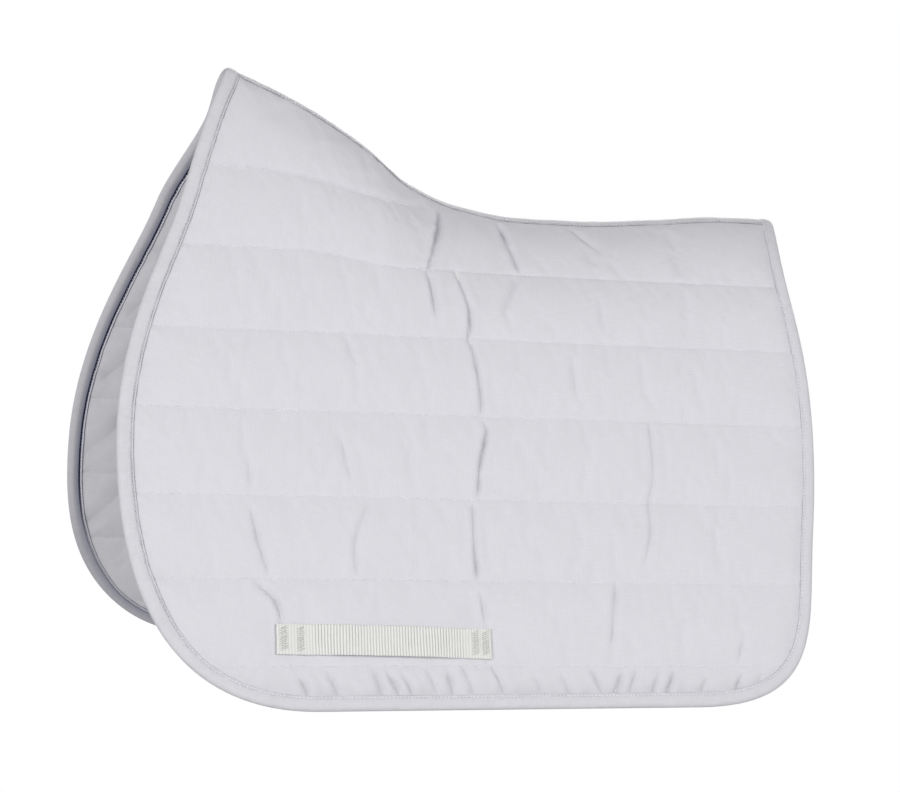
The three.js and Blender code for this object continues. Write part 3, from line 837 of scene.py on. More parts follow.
def build_wadding(name, cover, lining, side, material):
    """The fibre sheet between cover and lining, clear of both."""
    coarse = (slice(None, None, WADDING_STEP), slice(None, None, WADDING_STEP))
    top = block_extreme(cover.depth(), np.maximum) + WADDING_GAP
    base = block_extreme(lining.depth(), np.minimum) - WADDING_GAP
    middle = (top + base) / 2
    top, base = np.minimum(top, middle - WADDING_LEAST / 2), np.maximum(base, middle + WADDING_LEAST / 2)
    outer, normal = cover.base[coarse], cover.normals[coarse]
    front, back = ((outer - depth[..., None] * normal).reshape(-1, 3) for depth in (top, base))
    fabric = np.stack([cover.x[coarse].ravel(), cover.q[coarse].ravel()], -1)
    quads = cells_where(cover.edge[coarse] > WADDING_INSET)
    return closed_sheet(name, front, back, quads, fabric, material, side)[0]


# ---- binding

# Inset from the edge and depth of the binding's outside, from its outer hem round to its inner hem
BINDING_SECTION = np.array([
    (16.0, 2.7), (15.8, 1.9), (15.0, 1.55), (14.2, 1.7), (13.6, 2.05), (13.0, 1.7), (12.0, 1.2),
    (10.5, 0.9), (8.0, 0.7), (5.5, 0.75), (3.4, 1.2), (1.7, 2.1), (0.6, 3.2), (0.2, 4.5),
    (0.6, 5.8), (1.7, 6.9), (3.4, 7.8), (5.5, 8.25), (8.0, 8.3), (10.5, 8.1), (12.0, 7.8),
    (13.0, 7.3), (13.6, 6.95), (14.2, 7.3), (15.0, 7.45), (15.8, 7.1), (16.0, 6.3),
])
BINDING_STITCH, BINDING_HEM = 13.6, 15.6  # insets for the full width
SEWN_OUT, SEWN_IN = 1.95, 7.05  # depths of the thread on the outer and the inner leaf
BINDING_THICKNESS = 0.75
BINDING_STEP = 3.0


def pale_stitching(x, z):
    """1 along the bottom and the rear, where the binding's stitching is drawn paler and its painted
    groove shade is weaker.
    """
    return np.maximum(ease(-375, -418, z), ease(120, 190, x))


def edge_stations():
    """Stations round the edge of one half, as x, q and the inward direction in x and z."""
    line, _ = resampled(EDGE, BINDING_STEP)
    along = unit(np.gradient(line, axis=0))
    inward = np.stack([-along[:, 1], along[:, 0]], -1)
    q = across_at(crest(line[:, 0]) - line[:, 1])
    crown = np.linspace(0.0, 1.0, 4)[:-1]
    front = [(line[0, 0], q[0] * part, *inward[0]) for part in crown]
    rear = [(line[-1, 0], q[-1] * part, *inward[-1]) for part in crown[::-1]]
    middle = [(x, b, *d) for (x, _), b, d in zip(line, q, inward)]
    return np.array(front + middle + rear)


def binding_place(stations, insets, depths):
    """Points of the binding at each station, for matching lists of insets and depths."""
    x0, q0 = stations[:, :1], stations[:, 1:2]
    z0 = crest(x0) - drop_at(q0)
    insets = insets * binding_width(x0, z0) / BINDING_WIDTH
    x = x0 + stations[:, 2:3] * insets
    followed = across_at(crest(x) - z0 - stations[:, 3:4] * insets)
    q = q0 + ease(CREST_FLAT + 3, 34, q0) * (followed - q0)
    return place(x, q, depths + 0 * x), x, q


def over_tape(q):
    """1 where the binding crosses the spine tape."""
    return ease(28, 20, q)


def build_binding(name, side, seed, material):
    """The tape folded round the edge of one half, from hem to hem."""
    stations = edge_stations()
    insets, depths = BINDING_SECTION.T
    run = BINDING_STEP * np.arange(len(stations))[:, None]
    crown = over_tape(stations[:, 1:2])
    outer = depths < PAD_DEPTH / 2
    near_edge = 1 - ease(1, 4, insets)
    swell = 0.34 * noise(run, insets, 13, seed) + 0.28 * noise(run, insets * 1.5, 5, seed + 1)
    swell = swell * np.sin(np.pi * np.clip(insets / BINDING_WIDTH, 0, 1))
    depth = depths + np.where(outer, swell - 1.0 * crown, -swell + 0.8 * crown)
    wander = 0.3 * noise(run, 0 * insets, 30, seed + 2) + 0.3 * noise(run, 0 * insets, 9, seed + 4)
    outside, *_ = binding_place(stations, insets + wander * ease(9, 14, insets), depth)
    into = np.where(outer, BINDING_THICKNESS, -BINDING_THICKNESS) * (1 - near_edge)
    into = into + (PAD_DEPTH / 2 - depths) * 0.2 * near_edge
    inner_insets = np.maximum(insets, BINDING_THICKNESS + 0.1) + 0.4 * near_edge
    inside, *_ = binding_place(stations, inner_insets, depth + into)
    arc = np.concatenate([[0], np.cumsum(np.hypot(np.diff(insets), np.diff(depths)))])
    around = np.concatenate([arc, arc[::-1] + 1])
    obj = build_strip(name, outside, inside, run[:, 0], around, -1, material, side)
    everywhere = np.ones((len(stations), len(insets)))
    height = (crest(stations[:, 0]) - drop_at(stations[:, 1]))[:, None]
    # places across the inner leaf, for its painted shade
    store_faces(obj, "inner_leaf", everywhere * np.where(outer, 0, insets / BINDING_WIDTH))
    # how much of an even painted shade the inner leaf takes, more towards the bottom
    store_faces(obj, "lower_leaf", everywhere * 0.6 * ease(-270, -370, height))
    # painted shade in the outer leaf's stitch groove and past its hem, weaker along the bottom and the
    # rear
    groove_shade = painted_groove_shade(insets, BINDING_STITCH, 0.55, BINDING_HEM, run, insets, seed) * outer
    store_faces(obj, "groove_shade", groove_shade * (1 - 0.6 * pale_stitching(stations[:, :1], height)))
    return obj


# ---- thread

# Along a stitch: place, height over the fabric and thickness, as shares
STITCH_SHAPE = np.array([(0.0, -0.9, 0.5), (0.12, 0.05, 0.9), (0.35, 0.5, 1.0), (0.65, 0.5, 1.0),
                         (0.88, 0.05, 0.9), (1.0, -0.9, 0.5)])
STITCH_SIDES = 6
# Length of a stitch, gap to the next one and radius of the thread
BINDING_SEWING, ROW_SEWING, SPINE_SEWING = (2.7, 0.8, 0.34), (3.1, 0.8, 0.36), (2.8, 0.8, 0.33)


def stitch_set(line, run, places, radius, lean=0.0):
    """Closed stitches along a line of points and facing directions, one for each row of places."""
    at = np.stack([np.interp(places, run, line[:, k]) for k in range(6)], -1)
    centre, up = at[..., :3], unit(at[..., 3:])
    across = np.cross(unit(centre[:, -1:] - centre[:, :1]), up)
    centre = centre + up * (STITCH_SHAPE[:, 1:2] * radius) + across * lean
    turn = 2 * np.pi * np.arange(STITCH_SIDES)[:, None] / STITCH_SIDES
    ring = across[:, :, None] * np.cos(turn) + up[:, :, None] * np.sin(turn)
    rings = centre[:, :, None] + ring * (radius * STITCH_SHAPE[:, 2])[:, None, None]
    return joined([capped_tube(stitch) for stitch in rings])


def stitches(points, facing, length, gap, radius, seed=0):
    """A row of stitches along a line on a surface, a little uneven."""
    line = np.concatenate([points, facing], 1)
    run = run_along(points)
    count = int((run[-1] - gap) / (length + gap))
    rng = np.random.default_rng(seed)
    starts = gap / 2 + (length + gap) * np.arange(count) + rng.uniform(-0.12, 0.12, count) * length
    lean = rng.uniform(-0.25, 0.25, count)[:, None, None] * radius
    return stitch_set(line, run, starts[:, None] + length * STITCH_SHAPE[:, 0], radius, lean)


def joined(parts):
    """Several lists of points and quads as one."""
    firsts = np.cumsum([0] + [len(points) for points, _ in parts[:-1]])
    quads = [quads + first for (_, quads), first in zip(parts, firsts)]
    return np.concatenate([points for points, _ in parts]), np.concatenate(quads)


def build_thread(name, parts, side, *materials):
    """One mesh of stitches; a second material is for the last part, on the inside of the pad."""
    points, quads = joined(parts)
    obj = make_mesh(name, points, quads[:, ::-1], points[:, [0, 2]], materials[0], side)
    store(obj, "pale_stitching", pale_stitching(points[:, 0], points[:, 2]))
    if len(materials) > 1:
        obj.data.materials.append(materials[1])
        index = np.arange(len(quads)) >= len(quads) - len(parts[-1][1])
        obj.data.polygons.foreach_set("material_index", index.astype(np.int32))
    return obj


def binding_stitches(depth, facing_sign, seed):
    """Stitches that hold the binding down, on its outer or inner leaf."""
    stations = edge_stations()
    points, x, q = binding_place(stations, np.array([BINDING_STITCH]), np.array([depth]))
    facing = outer_normal(x, q)[:, 0] * facing_sign
    points = points[:, 0] + facing * over_tape(stations[:, 1:2])
    return stitches(points, facing, *BINDING_SEWING, seed)


def row_stitches(skin, x, z, seed):
    """Quilting stitches on a skin, between the spine tape and the binding."""
    points, facing = skin.on_surface(x, z)
    keep = (inset(x, z) > BINDING_WIDTH + 0.6) & (across_at(crest(x) - z) > TAPE_HALF + 0.6)
    return stitches(points[keep], facing[keep], *ROW_SEWING, seed)


# ---- spine

SPINE_FRONT, SPINE_REAR = -324, 242  # the tapes' ends, tucked under the binding
HEM_FRONT, HEM_REAR = -318.5, 236.5  # where the binding's hem crosses them
TAPE_TUCK, TAPE_THICKNESS = 1.4, 0.6
TAPE_TOP, TAPE_BASE = 0.75, 8.25  # depths of the tapes' visible faces
SPINE_STITCH = 16.5  # q of the stitching on the tapes
TAPE_ACROSS = np.array([2.5, 5, 8, 11, 14, 15.5, 16, 16.5, 17, 17.5, 18.5, 19.0, 19.2])


def build_spine_tape(name, top, material, seed):
    """A tape along the spine, dipped at its stitching."""
    x = np.linspace(SPINE_FRONT, SPINE_REAR, 240)
    q = np.concatenate([-TAPE_ACROSS[::-1], [0.001], TAPE_ACROSS])
    size = np.abs(q)
    dip = 0.3 * np.exp(-((size - SPINE_STITCH) / 0.9) ** 2) + 0.45 * (size > 19.1)
    xx, qq = np.meshgrid(x, q, indexing="ij")
    sign = 1 if top < PAD_DEPTH / 2 else -1
    tuck = np.maximum(ease(HEM_FRONT, HEM_FRONT - 2.5, xx), ease(HEM_REAR, HEM_REAR + 2.5, xx))
    wave = 0.22 * noise(xx, qq * 2, 9, seed) + 0.25 * noise(xx, qq, 28, seed + 1) + TAPE_TUCK * tuck
    wide = qq + 0.3 * noise(xx, 0 * qq, 24, seed + 2) * np.sign(qq)
    front = place(xx, wide, top + sign * (dip + wave))
    back = place(xx, wide, top + sign * (wave + TAPE_THICKNESS))
    obj = build_strip(name, front, back, x, there_and_back(q), sign, material)
    # painted shade along the stitch grooves and past the hems
    store_faces(obj, "groove_shade", painted_groove_shade(size, SPINE_STITCH, 0.5, 18.8, xx, qq, seed))
    return obj


def spine_stitches(seed):
    """One side's stitching on both tapes."""
    x = np.linspace(HEM_FRONT + 2, HEM_REAR - 2, 300)
    q = np.full(len(x), SPINE_STITCH)
    parts = []
    for depth, sign in ((TAPE_TOP + 0.15, 1), (TAPE_BASE - 0.15, -1)):
        points = place(x, q, np.full(len(x), depth))
        parts.append(stitches(points, outer_normal(x, q) * sign, *SPINE_SEWING, seed))
    return parts


# ---- girth keeper

RIB_PITCH = 2.8  # from rib to rib along the webbing
STRAP_LEVEL, STRAP_RISE = -2.0, 1.9  # height of the sewn ply's middle, and from it to the upper ply's
STRAP_BOW = 3.4  # how far the middle of the strap stands off
FOLD_AT, FOLD_LENGTH, FOLD_HEIGHT = 1.4, 1.25, 0.95  # the fold at the webbing's end
# Places across the webbing, and how thick it is there
STRAP_ACROSS = np.array([-14, -13.75, -12.4, -9, -4.5, 0, 4.5, 9, 12.4, 13.75, 14])
STRAP_THICK = np.array([0.25, 0.62, 0.85, 1, 1, 1, 1, 1, 0.85, 0.62, 0.25])
TACK_PITCH, TACK_SLANT, TACK_WIDTH, TACK_HEIGHT, TACK_RADIUS = 2.0, 3.4, 7.6, 0.72, 0.42
TACKS = {  # distances of the tacks' middles from the strap's ends
    "front_bar_tack_1": 6.2, "front_bar_tack_2": 22, "rear_bar_tack_1": 6, "rear_bar_tack_2": 15.4,
}


def strap_point(u, v=0.0, w=0.0):
    """A point in strap coordinates: along, down the flap, and away from the flap's plane."""
    u, v, w = np.broadcast_arrays(u, v, w)
    return STRAP_AT + u[..., None] * STRAP_ALONG + v[..., None] * STRAP_DOWN + w[..., None] * STRAP_AWAY


def strap_path(sewn):
    """Middle line of the webbing from its tucked end, round the fold and to the strap's middle,
    as distance from the end of the strap and height."""
    low, high = STRAP_LEVEL, STRAP_LEVEL + STRAP_RISE
    turn = np.linspace(-np.pi / 2, np.pi / 2, 9)[1:-1]
    heights = (low + high) / 2 + FOLD_HEIGHT * np.sin(turn)
    out = np.linspace(0, 1, 24)[1:]
    free = [sewn + (STRAP_LENGTH / 2 - sewn) * out, high + ease(0, 0.55, out) * STRAP_BOW]
    return np.concatenate([
        [(sewn - 2.5, low), (FOLD_AT, low)],
        np.stack([FOLD_AT - FOLD_LENGTH * np.cos(turn), heights], -1),
        [(FOLD_AT, high), (sewn, high)],
        np.stack(free, -1),
    ])


def build_strap(name, end, sewn, side, material, seed):
    """Half of the ribbed webbing, from its folded end to the middle of the strap."""
    path, run = resampled(strap_path(sewn), 0.4)
    ahead = unit(np.gradient(path, axis=0))
    v, thick = STRAP_ACROSS, STRAP_THICK
    phase = np.pi * (run[-1] - run)[:, None] / RIB_PITCH + 0.35 * noise(run[:, None], v, 16, seed)
    sewn_flat = 0.6 * ease(sewn + 10, sewn + 3, path[:, :1])
    ridge = np.abs(np.cos(phase)) ** 0.8
    rib = 0.32 + 0.62 * ridge * (1 - sewn_flat)
    faces = []
    for sign in (1, -1):
        lift = sign * rib * thick + 0.25 * (2 * v / STRAP_WIDTH) ** 2
        along = end * (STRAP_LENGTH / 2 - path[:, :1] + ahead[:, 1:] * lift)
        faces.append(strap_point(along, v, path[:, 1:] + ahead[:, :1] * lift))
    obj = build_strip(name, *faces, run, there_and_back(v), end, material, side)
    # rib height, used for the painted shade between ribs and for roughness
    store_faces(obj, "rib", ridge + (0.75 - ridge) * sewn_flat, at_caps=1)
    return obj


def build_tack(name, centre, side, material, seed):
    """A bar tack: a band of slanted stitches over the strap's upper ply."""
    rng = np.random.default_rng(seed)
    reach = STRAP_WIDTH / 2 - 1.6
    length = math.hypot(TACK_WIDTH, TACK_SLANT)
    run = np.linspace(0, length, 6)
    facing = np.repeat(STRAP_AWAY[None], len(run), 0)
    parts = []
    for v in np.arange(-reach, reach - TACK_SLANT + 0.1, TACK_PITCH):
        along = np.linspace(-TACK_WIDTH / 2, TACK_WIDTH / 2, len(run)) + rng.uniform(-0.25, 0.25)
        down = np.linspace(v + TACK_SLANT, v, len(run)) + rng.uniform(-0.15, 0.15)
        points = strap_point(centre + along, down, STRAP_LEVEL + STRAP_RISE + TACK_HEIGHT)
        line = np.concatenate([points, facing], 1)
        parts.append(stitch_set(line, run, length * STITCH_SHAPE[None, :, 0], TACK_RADIUS))
    points, quads = joined(parts)
    return make_mesh(name, points, quads[:, ::-1], points[:, [0, 2]], material, side)


# ---- materials

THREADS_PER_METRE = 1500
# how much painted shade darkens the fabric in its folds and beside the binding, and the tapes in their
# stitch grooves and past their hems
HOLLOW_SHADE, GROOVE_SHADE = 0.17, 0.62
# Painted shade across the binding's inner leaf, from its outer edge to its hem: darker inwards, a navy
# band of painted shadow round the navy stitching, a line paler than the tape, and painted shadow at the
# hem
# a navy painted shadow, a line paler than the tape, and painted shadow at the hem
NAVY_SHADOW, HEM_SHADOW, PALE_LINE = (0.02, 0.03, 0.08, 1), (0.12, 0.13, 0.2, 1), (1.22, 1.22, 1.28, 1)
INNER_LEAF_PAINTED_SHADE = [
    (0.0, (1, 1, 1, 1)), (0.3, (1, 0.98, 0.96, 1)), (0.5, (0.66, 0.67, 0.71, 1)),
    (0.7, (0.45, 0.47, 0.56, 1)), (0.73, NAVY_SHADOW), (0.86, NAVY_SHADOW), (0.88, PALE_LINE),
    (0.945, PALE_LINE), (0.96, HEM_SHADOW), (1.0, HEM_SHADOW),
]
# an even painted shade that the inner leaf's lower part partly takes in place of the painted shades
# across it
LOWER_LEAF_SHADE = (0.78, 0.79, 0.84, 1)


class Tree:
    """Short ways to add shader nodes and links to a new material."""

    def __init__(self, name):
        self.material = bpy.data.materials.new(name)
        self.material.use_nodes = True
        self.nodes = self.material.node_tree.nodes
        self.links = self.material.node_tree.links

    def put(self, socket, value):
        if isinstance(value, bpy.types.NodeSocket):
            self.links.new(value, socket)
        else:
            socket.default_value = value

    def add(self, kind, inputs, **options):
        """A new node's first output."""
        node = self.nodes.new("ShaderNode" + kind)
        for name, value in options.items():
            setattr(node, name, value)
        for name, value in inputs.items():
            self.put(node.inputs[name], value)
        return node.outputs[0]

    def attribute(self, name):
        node = self.nodes.new("ShaderNodeAttribute")
        node.attribute_name = name
        return node.outputs["Fac"]

    def maths(self, operation, *values):
        return self.add("Math", dict(enumerate(values)), operation=operation)

    def scaled(self, value, factor, offset):
        return self.maths("ADD", self.maths("MULTIPLY", value, factor), offset)

    def centred(self, value, amount):
        """A value round 0.5 turned into one round 1, with this much swing."""
        return self.scaled(value, 2 * amount, 1 - amount)

    def mix(self, share, first, second, **options):
        return self.add("MixRGB", {"Fac": share, "Color1": first, "Color2": second}, **options)

    def fabric(self):
        return self.add("UVMap", {}, uv_map="fabric")

    def noise(self, scale_u, scale_v, detail=3.0, roughness=0.55):
        """Noise stretched over the fabric; scales are features per metre."""
        place = self.add("Mapping", {"Vector": self.fabric(), "Scale": (scale_u, scale_v, 1)})
        settings = {"Vector": place, "Scale": 1.0, "Detail": detail, "Roughness": roughness}
        return self.add("TexNoise", settings)

    def bands(self, degrees, per_metre):
        """Sine bands across the fabric at an angle, between 0 and 1."""
        turn, angle = 2 * math.pi * per_metre, math.radians(degrees)
        ahead = (turn * math.cos(angle), turn * math.sin(angle), 0)
        node = self.nodes.new("ShaderNodeVectorMath")
        node.operation = "DOT_PRODUCT"
        self.put(node.inputs[0], self.fabric())
        self.put(node.inputs[1], ahead)
        return self.scaled(self.maths("SINE", node.outputs["Value"]), 0.5, 0.5)

    def colour(self, base, *factors):
        """The base colour multiplied by each factor."""
        total = factors[0]
        for factor in factors[1:]:
            total = self.maths("MULTIPLY", total, factor)
        return self.add("VectorMath", {0: base, "Scale": total}, operation="SCALE")

    def ramp(self, value, stops):
        node = self.nodes.new("ShaderNodeValToRGB")
        self.put(node.inputs[0], value)
        elements = node.color_ramp.elements
        for position, _ in stops[:-2]:
            elements.new(position)
        for element, (position, shade) in zip(elements, stops):
            element.position, element.color = position, shade
        return node.outputs[0]

    def bumps(self, *layers):
        """The normal after each layer of height, strength and distance in metres."""
        normal = None
        for height, strength, distance in layers:
            inputs = {"Height": height, "Strength": strength, "Distance": distance}
            normal = self.add("Bump", inputs if normal is None else {**inputs, "Normal": normal})
        return normal

    def finish(self, colour, normal, roughness, sheen=0.0):
        values = {"Base Color": colour, "Normal": normal, "Roughness": roughness, "Sheen Weight": sheen,
                  "Sheen Roughness": 0.4, "Specular IOR Level": 0.15}
        for name, value in values.items():
            self.put(self.nodes["Principled BSDF"].inputs[name], value)
        return self.material


def woven_cotton(name, base, slub):
    """Plain cotton: a fine weave with thicker yarns here and there in both directions, darkened by
    painted shade in its folds and beside the binding.
    """
    tree = Tree(name)
    weft, warp = tree.noise(70, 1100), tree.noise(1100, 60)
    cloud, grain = tree.noise(22, 22, detail=2.0), tree.noise(900, 900, detail=1.0)
    factors = [tree.centred(weft, slub), tree.centred(warp, slub * 0.8)]
    # painted shade in the folds and beside the binding
    factors.append(tree.scaled(tree.attribute("painted_shade"), -HOLLOW_SHADE, 1.0))
    factors += [tree.centred(cloud, 0.02), tree.centred(grain, 0.03)]
    weave = tree.maths("ADD", tree.bands(0, THREADS_PER_METRE), tree.bands(90, THREADS_PER_METRE))
    yarns = tree.maths("ADD", weft, warp)
    normal = tree.bumps((weave, 0.09, 0.0002), (yarns, 0.33, 0.0004), (cloud, 0.25, 0.0015))
    return tree.finish(tree.colour(base, *factors), normal, tree.scaled(grain, 0.1, 0.83), sheen=0.25)


def binding_tape(name, base):
    """Fine twill tape with painted shade in its stitch grooves; on the inner leaf, painted shade deepens
    to a navy band of painted shadow round its stitching, beside its hem.
    """
    tree = Tree(name)
    twill, streak = tree.bands(63, 1300), tree.noise(40, 900)
    cloud, rumple = tree.noise(35, 60, detail=2.0), tree.noise(230, 120)
    factors = [tree.centred(twill, 0.025), tree.centred(streak, 0.045), tree.centred(cloud, 0.03)]
    factors.append(tree.centred(rumple, 0.06))
    # painted shade in the stitch groove and past the hem
    factors.append(tree.scaled(tree.attribute("groove_shade"), -GROOVE_SHADE, 1.0))
    leaf = tree.attribute("inner_leaf")
    # the painted shade across the inner leaf, evened out towards the bottom
    shade = tree.mix(tree.attribute("lower_leaf"), tree.ramp(leaf, INNER_LEAF_PAINTED_SHADE), LOWER_LEAF_SHADE)
    shade = tree.mix(tree.maths("GREATER_THAN", leaf, 0.02), (1, 1, 1, 1), shade)
    colour = tree.mix(1.0, tree.colour(base, *factors), shade, blend_type="MULTIPLY")
    normal = tree.bumps((twill, 0.2, 0.0002), (streak, 0.3, 0.0004), (rumple, 0.6, 0.0012))
    return tree.finish(colour, normal, 0.7, sheen=0.3)


def ribbed_webbing(name, base):
    """Coarse webbing, with painted shade between its ribs."""
    tree = Tree(name)
    yarn, pick, streak = tree.bands(90, 900), tree.noise(600, 1500, detail=2.0), tree.noise(900, 60)
    ribs = tree.attribute("rib")
    factors = [tree.centred(yarn, 0.03), tree.centred(pick, 0.08), tree.centred(streak, 0.05)]
    # painted shade between the ribs
    factors.append(tree.scaled(tree.maths("POWER", ribs, 0.8), 0.57, 0.43))
    normal = tree.bumps((tree.maths("ADD", yarn, pick), 0.5, 0.0003))
    return tree.finish(tree.colour(base, *factors), normal, tree.scaled(ribs, -0.1, 0.72), sheen=0.2)


def sewing_thread(name, base, paler_by=1.0):
    """Twisted thread, paler by this factor along the pad's bottom and rear."""
    tree = Tree(name)
    twist, fuzz = tree.bands(40, 1400), tree.noise(800, 800)
    pale = tree.scaled(tree.attribute("pale_stitching"), paler_by - 1, 1.0)
    colour = tree.colour(base, tree.centred(twist, 0.06), tree.centred(fuzz, 0.05), pale)
    return tree.finish(colour, tree.bumps((twist, 0.5, 0.0002)), 0.5, sheen=0.2)


def fibre_wadding(name, base):
    """Soft tufted fibre."""
    tree = Tree(name)
    tufts = tree.noise(120, 120, detail=6.0, roughness=0.7)
    normal = tree.bumps((tufts, 0.8, 0.002))
    return tree.finish(tree.colour(base, tree.centred(tufts, 0.06)), normal, 0.95)


COVER = woven_cotton("quilted_cotton", (0.72, 0.711, 0.752), slub=0.065)
# the same cotton as the cover, painted paler to stand in for light on the lining, which lies in shade
# inside the pad
LINING = woven_cotton("lining_cotton", (0.80, 0.792, 0.832), slub=0.06)
# the tape is as white as the cover, painted a little darker to stand in for the shade over its rolled
# edges; the spine tapes share it
BINDING = binding_tape("binding_tape", (0.68, 0.674, 0.713))
WEBBING = ribbed_webbing("ribbed_webbing", (0.90, 0.90, 0.875))
THREAD = sewing_thread("sewing_thread", (0.80, 0.79, 0.84))
# greyer than the quilting thread, and 1.4 times paler along the bottom and the rear
BINDING_THREAD = sewing_thread("binding_thread", (0.66, 0.645, 0.70), paler_by=1.4)
NAVY_THREAD = sewing_thread("navy_thread", (0.06, 0.07, 0.13))
TACK_THREAD = sewing_thread("tack_thread", (0.62, 0.62, 0.59))
WADDING = fibre_wadding("fibre_wadding", (0.80, 0.80, 0.80))

# ---- assembly

STRAP_BEND_END = 30.0  # a distance from the strap's middle; build_keeper works out a point there and does not use it


def stand_for(obj, slot, *nodes):
    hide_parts(*nodes)


def hinge(obj, side_name, slot, *nodes):
    """obj, baked in place, stands for these nodes, which are hidden."""
    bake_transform(obj)
    stand_for(obj, slot, *nodes)


def build_half(side_name, creases, puckers, seed):
    """Everything on one side of the spine seam."""
    side = SIDES[side_name]
    cover = Skin(1, creases, puckers, seed)
    lining = Skin(-1, LINING_CREASES, [], seed + 20)
    layers = {
        "cover": ("cotton_cover", build_sheet(f"{side_name}_cover", cover, side, COVER)),
        "lining": ("cotton_lining", build_sheet(f"{side_name}_lining", lining, side, LINING)),
        "wadding": ("wadding", build_wadding(f"{side_name}_wadding", cover, lining, side, WADDING)),
    }
    for word, (slot, layer) in layers.items():
        hinge(layer, side_name, slot, f"{side_name}_{word}", f"{side_name}_{word}_arch")
    bound = build_binding(f"{side_name}_binding", side, seed + 5, BINDING)
    bridges = ("front_binding_bridge", "rear_binding_bridge")
    hinge(bound, side_name, "binding_tape", f"{side_name}_binding", *bridges)

    name = f"{side_name}_binding_stitch"
    sewn = [binding_stitches(SEWN_OUT, 1, seed), binding_stitches(SEWN_IN, -1, seed + 1)]
    hinge(build_thread(name, sewn, side, BINDING_THREAD, NAVY_THREAD), side_name, "thread", name)
    for number, (x, z) in enumerate(row_lines(), 1):
        name = f"{side_name}_quilt_stitch_{number}"
        rows = [row_stitches(skin, x, z, seed + number) for skin in (cover, lining)]
        hinge(build_thread(name, rows, side, THREAD), side_name, "thread", name)
    build_keeper(side_name, seed)


def build_keeper(side_name, seed):
    """The webbing in two halves, which lift in the middle, and its tacks."""
    side = SIDES[side_name]
    flap, half = side_name + "_flap", STRAP_LENGTH / 2
    for word, end, sewn in (("front", -1, FRONT_SEWN), ("rear", 1, REAR_SEWN)):
        strap = build_strap(f"{side_name}_strap_{word}", end, sewn, side, WEBBING, seed)
        ends = [strap_point(end * u) * (MM, MM * side, MM) for u in (half - sewn, STRAP_BEND_END)]
        tuple(ends[0])
        tuple(ends[1])
        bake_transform(strap)
        stand_for(strap, "webbing", f"{side_name}_strap_{word}_end", f"{side_name}_girth_strap")
    for k, (word, from_end) in enumerate(TACKS.items()):
        centre = from_end - half if word.startswith("front") else half - from_end
        tack = build_tack(f"{side_name}_{word}", centre, side, TACK_THREAD, seed + k)
        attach(tack, flap)
        stand_for(tack, "thread", f"{side_name}_{word}")


def build_spine():
    """The two tapes and their stitching."""
    for name, top, seed in (("spine_tape_outer", TAPE_TOP, 3), ("spine_tape_inner", TAPE_BASE, 5)):
        tape = build_spine_tape(name, top, BINDING, seed)
        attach(tape, "spine")
        stand_for(tape, "binding_tape", name)
    for side_name, side in SIDES.items():
        name = f"{side_name}_spine_stitch"
        thread = build_thread(name, spine_stitches(7), side, THREAD)
        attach(thread, "spine")
        stand_for(thread, "thread", name)


# ---- stage, light and camera

TARGET = Vector((-0.090, 0.0, -0.175))  # what the camera and the lamps face, in metres
CAMERA_VIEW = (-16.62, 0.93, 2.437, 2.29)  # azimuth, elevation, distance and roll
CAMERA_LENS, SENSOR_WIDTH, FAR_CLIP = 96.4, 36, 100
LAMPS = {  # azimuth, elevation and distance, size and power
    "key_light": ((18, 10, 2.5), 1.1, 24.3),
    "fill_light": ((-46, 8, 2.8), 1.2, 26.5),
    "back_light": ((150, 22, 2.8), 1.3, 52),
}
FLOOR_GAP, FLOOR_REACH = 0.103, 12  # the floor lies this far below the pad, in metres
FLOOR_GLOW = 0.38
SKY_LOW, SKY_HIGH = 0.45, 0.31  # light from the horizon and from above
WHITE = (1, 1, 1, 1)


def set_up(name, data, azimuth, elevation, distance, roll=0.0):
    """Adds a camera or lamp in this direction from TARGET, facing it."""
    a, e = math.radians(azimuth), math.radians(elevation)
    back = Vector((math.sin(a) * math.cos(e), -math.cos(a) * math.cos(e), math.sin(e)))
    obj = bpy.data.objects.new(name, data)
    obj.location = TARGET + back * distance
    obj.rotation_mode = "QUATERNION"
    turned = Matrix.Rotation(math.radians(roll), 3, "Z").to_quaternion()
    obj.rotation_quaternion = (-back).to_track_quat("-Z", "Y") @ turned
    bpy.context.scene.collection.objects.link(obj)
    return obj


def add_camera():
    data = bpy.data.cameras.new("camera")
    data.lens, data.sensor_width, data.clip_end = CAMERA_LENS, SENSOR_WIDTH, FAR_CLIP
    bpy.context.scene.camera = set_up("camera", data, *CAMERA_VIEW)


def add_lamps():
    for name, (direction, size, power) in LAMPS.items():
        data = bpy.data.lights.new(name, "AREA")
        data.shape = "RECTANGLE"
        data.size = data.size_y = size
        data.energy = power
        set_up(name, data, *direction)


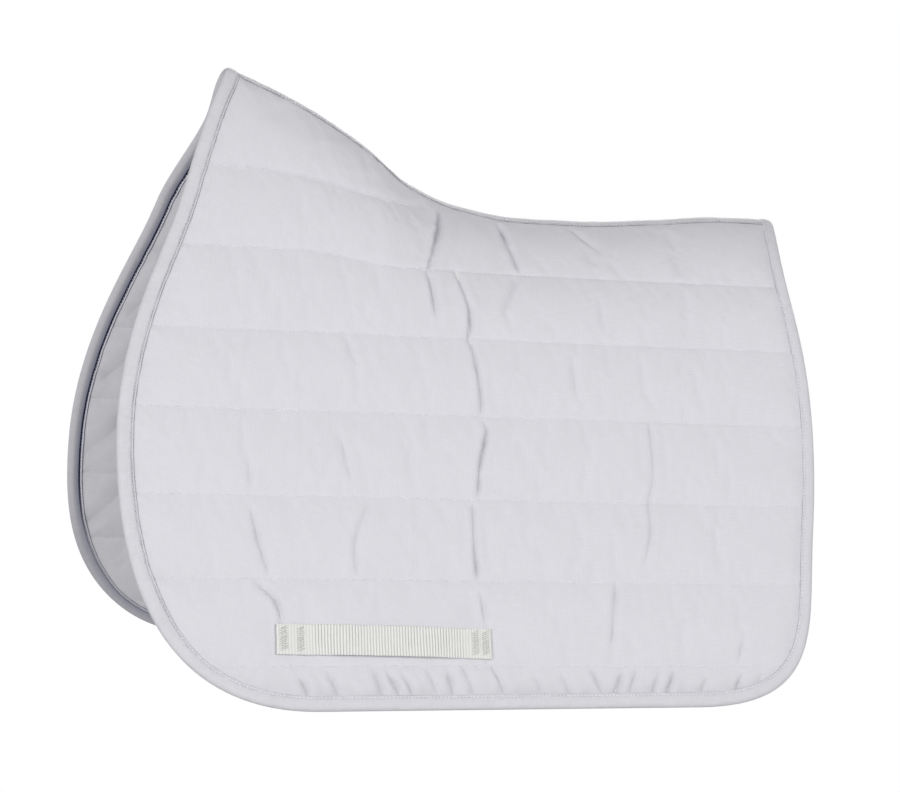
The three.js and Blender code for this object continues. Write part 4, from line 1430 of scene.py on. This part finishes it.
def seen_and_lit(owner, shader, output):
    """Nodes that show the camera plain white and light the pad otherwise; returns the second shader."""
    owner.use_nodes = True
    nodes, links = owner.node_tree.nodes, owner.node_tree.links
    nodes.clear()
    path = nodes.new("ShaderNodeLightPath")
    seen, lit = nodes.new(shader), nodes.new(shader)
    seen.inputs["Color"].default_value = lit.inputs["Color"].default_value = WHITE
    mix, out = nodes.new("ShaderNodeMixShader"), nodes.new(output)
    for start, end in ((path.outputs["Is Camera Ray"], mix.inputs[0]), (lit.outputs[0], mix.inputs[1]),
                       (seen.outputs[0], mix.inputs[2]), (mix.outputs[0], out.inputs["Surface"])):
        links.new(start, end)
    return lit


def add_floor():
    """A plain pale floor that looks white and gives back a softer light."""
    r, z = FLOOR_REACH, CAD_BOX[0][2] - FLOOR_GAP
    mesh = bpy.data.meshes.new("floor")
    mesh.from_pydata([(-r, -r, z), (r, -r, z), (r, r, z), (-r, r, z)], [], [(0, 1, 2, 3)])
    floor = bpy.data.objects.new("floor", mesh)
    bpy.context.scene.collection.objects.link(floor)
    material = bpy.data.materials.new("pale_floor")
    lit = seen_and_lit(material, "ShaderNodeEmission", "ShaderNodeOutputMaterial")
    lit.inputs["Strength"].default_value = FLOOR_GLOW
    mesh.materials.append(material)


def add_world():
    """White backdrop; the light it gives is softer, and weaker from above."""
    world = bpy.data.worlds.new("studio")
    bpy.context.scene.world = world
    lit = seen_and_lit(world, "ShaderNodeBackground", "ShaderNodeOutputWorld")
    nodes, links = world.node_tree.nodes, world.node_tree.links
    sky, split = nodes.new("ShaderNodeTexCoord"), nodes.new("ShaderNodeSeparateXYZ")
    fade = nodes.new("ShaderNodeMapRange")
    spans = {"From Min": -0.1, "From Max": 0.9, "To Min": SKY_LOW, "To Max": SKY_HIGH}
    for name, value in spans.items():
        fade.inputs[name].default_value = value
    links.new(sky.outputs["Generated"], split.inputs[0])
    links.new(split.outputs["Z"], fade.inputs["Value"])
    links.new(fade.outputs[0], lit.inputs["Strength"])


build_half("right", RIGHT_CREASES, RIGHT_PUCKERS, 47)
build_half("left", LEFT_CREASES, LEFT_PUCKERS, 11)
build_spine()
add_camera()
add_floor()
add_world()
add_lamps()
bpy.context.scene.view_settings.view_transform = "Standard"
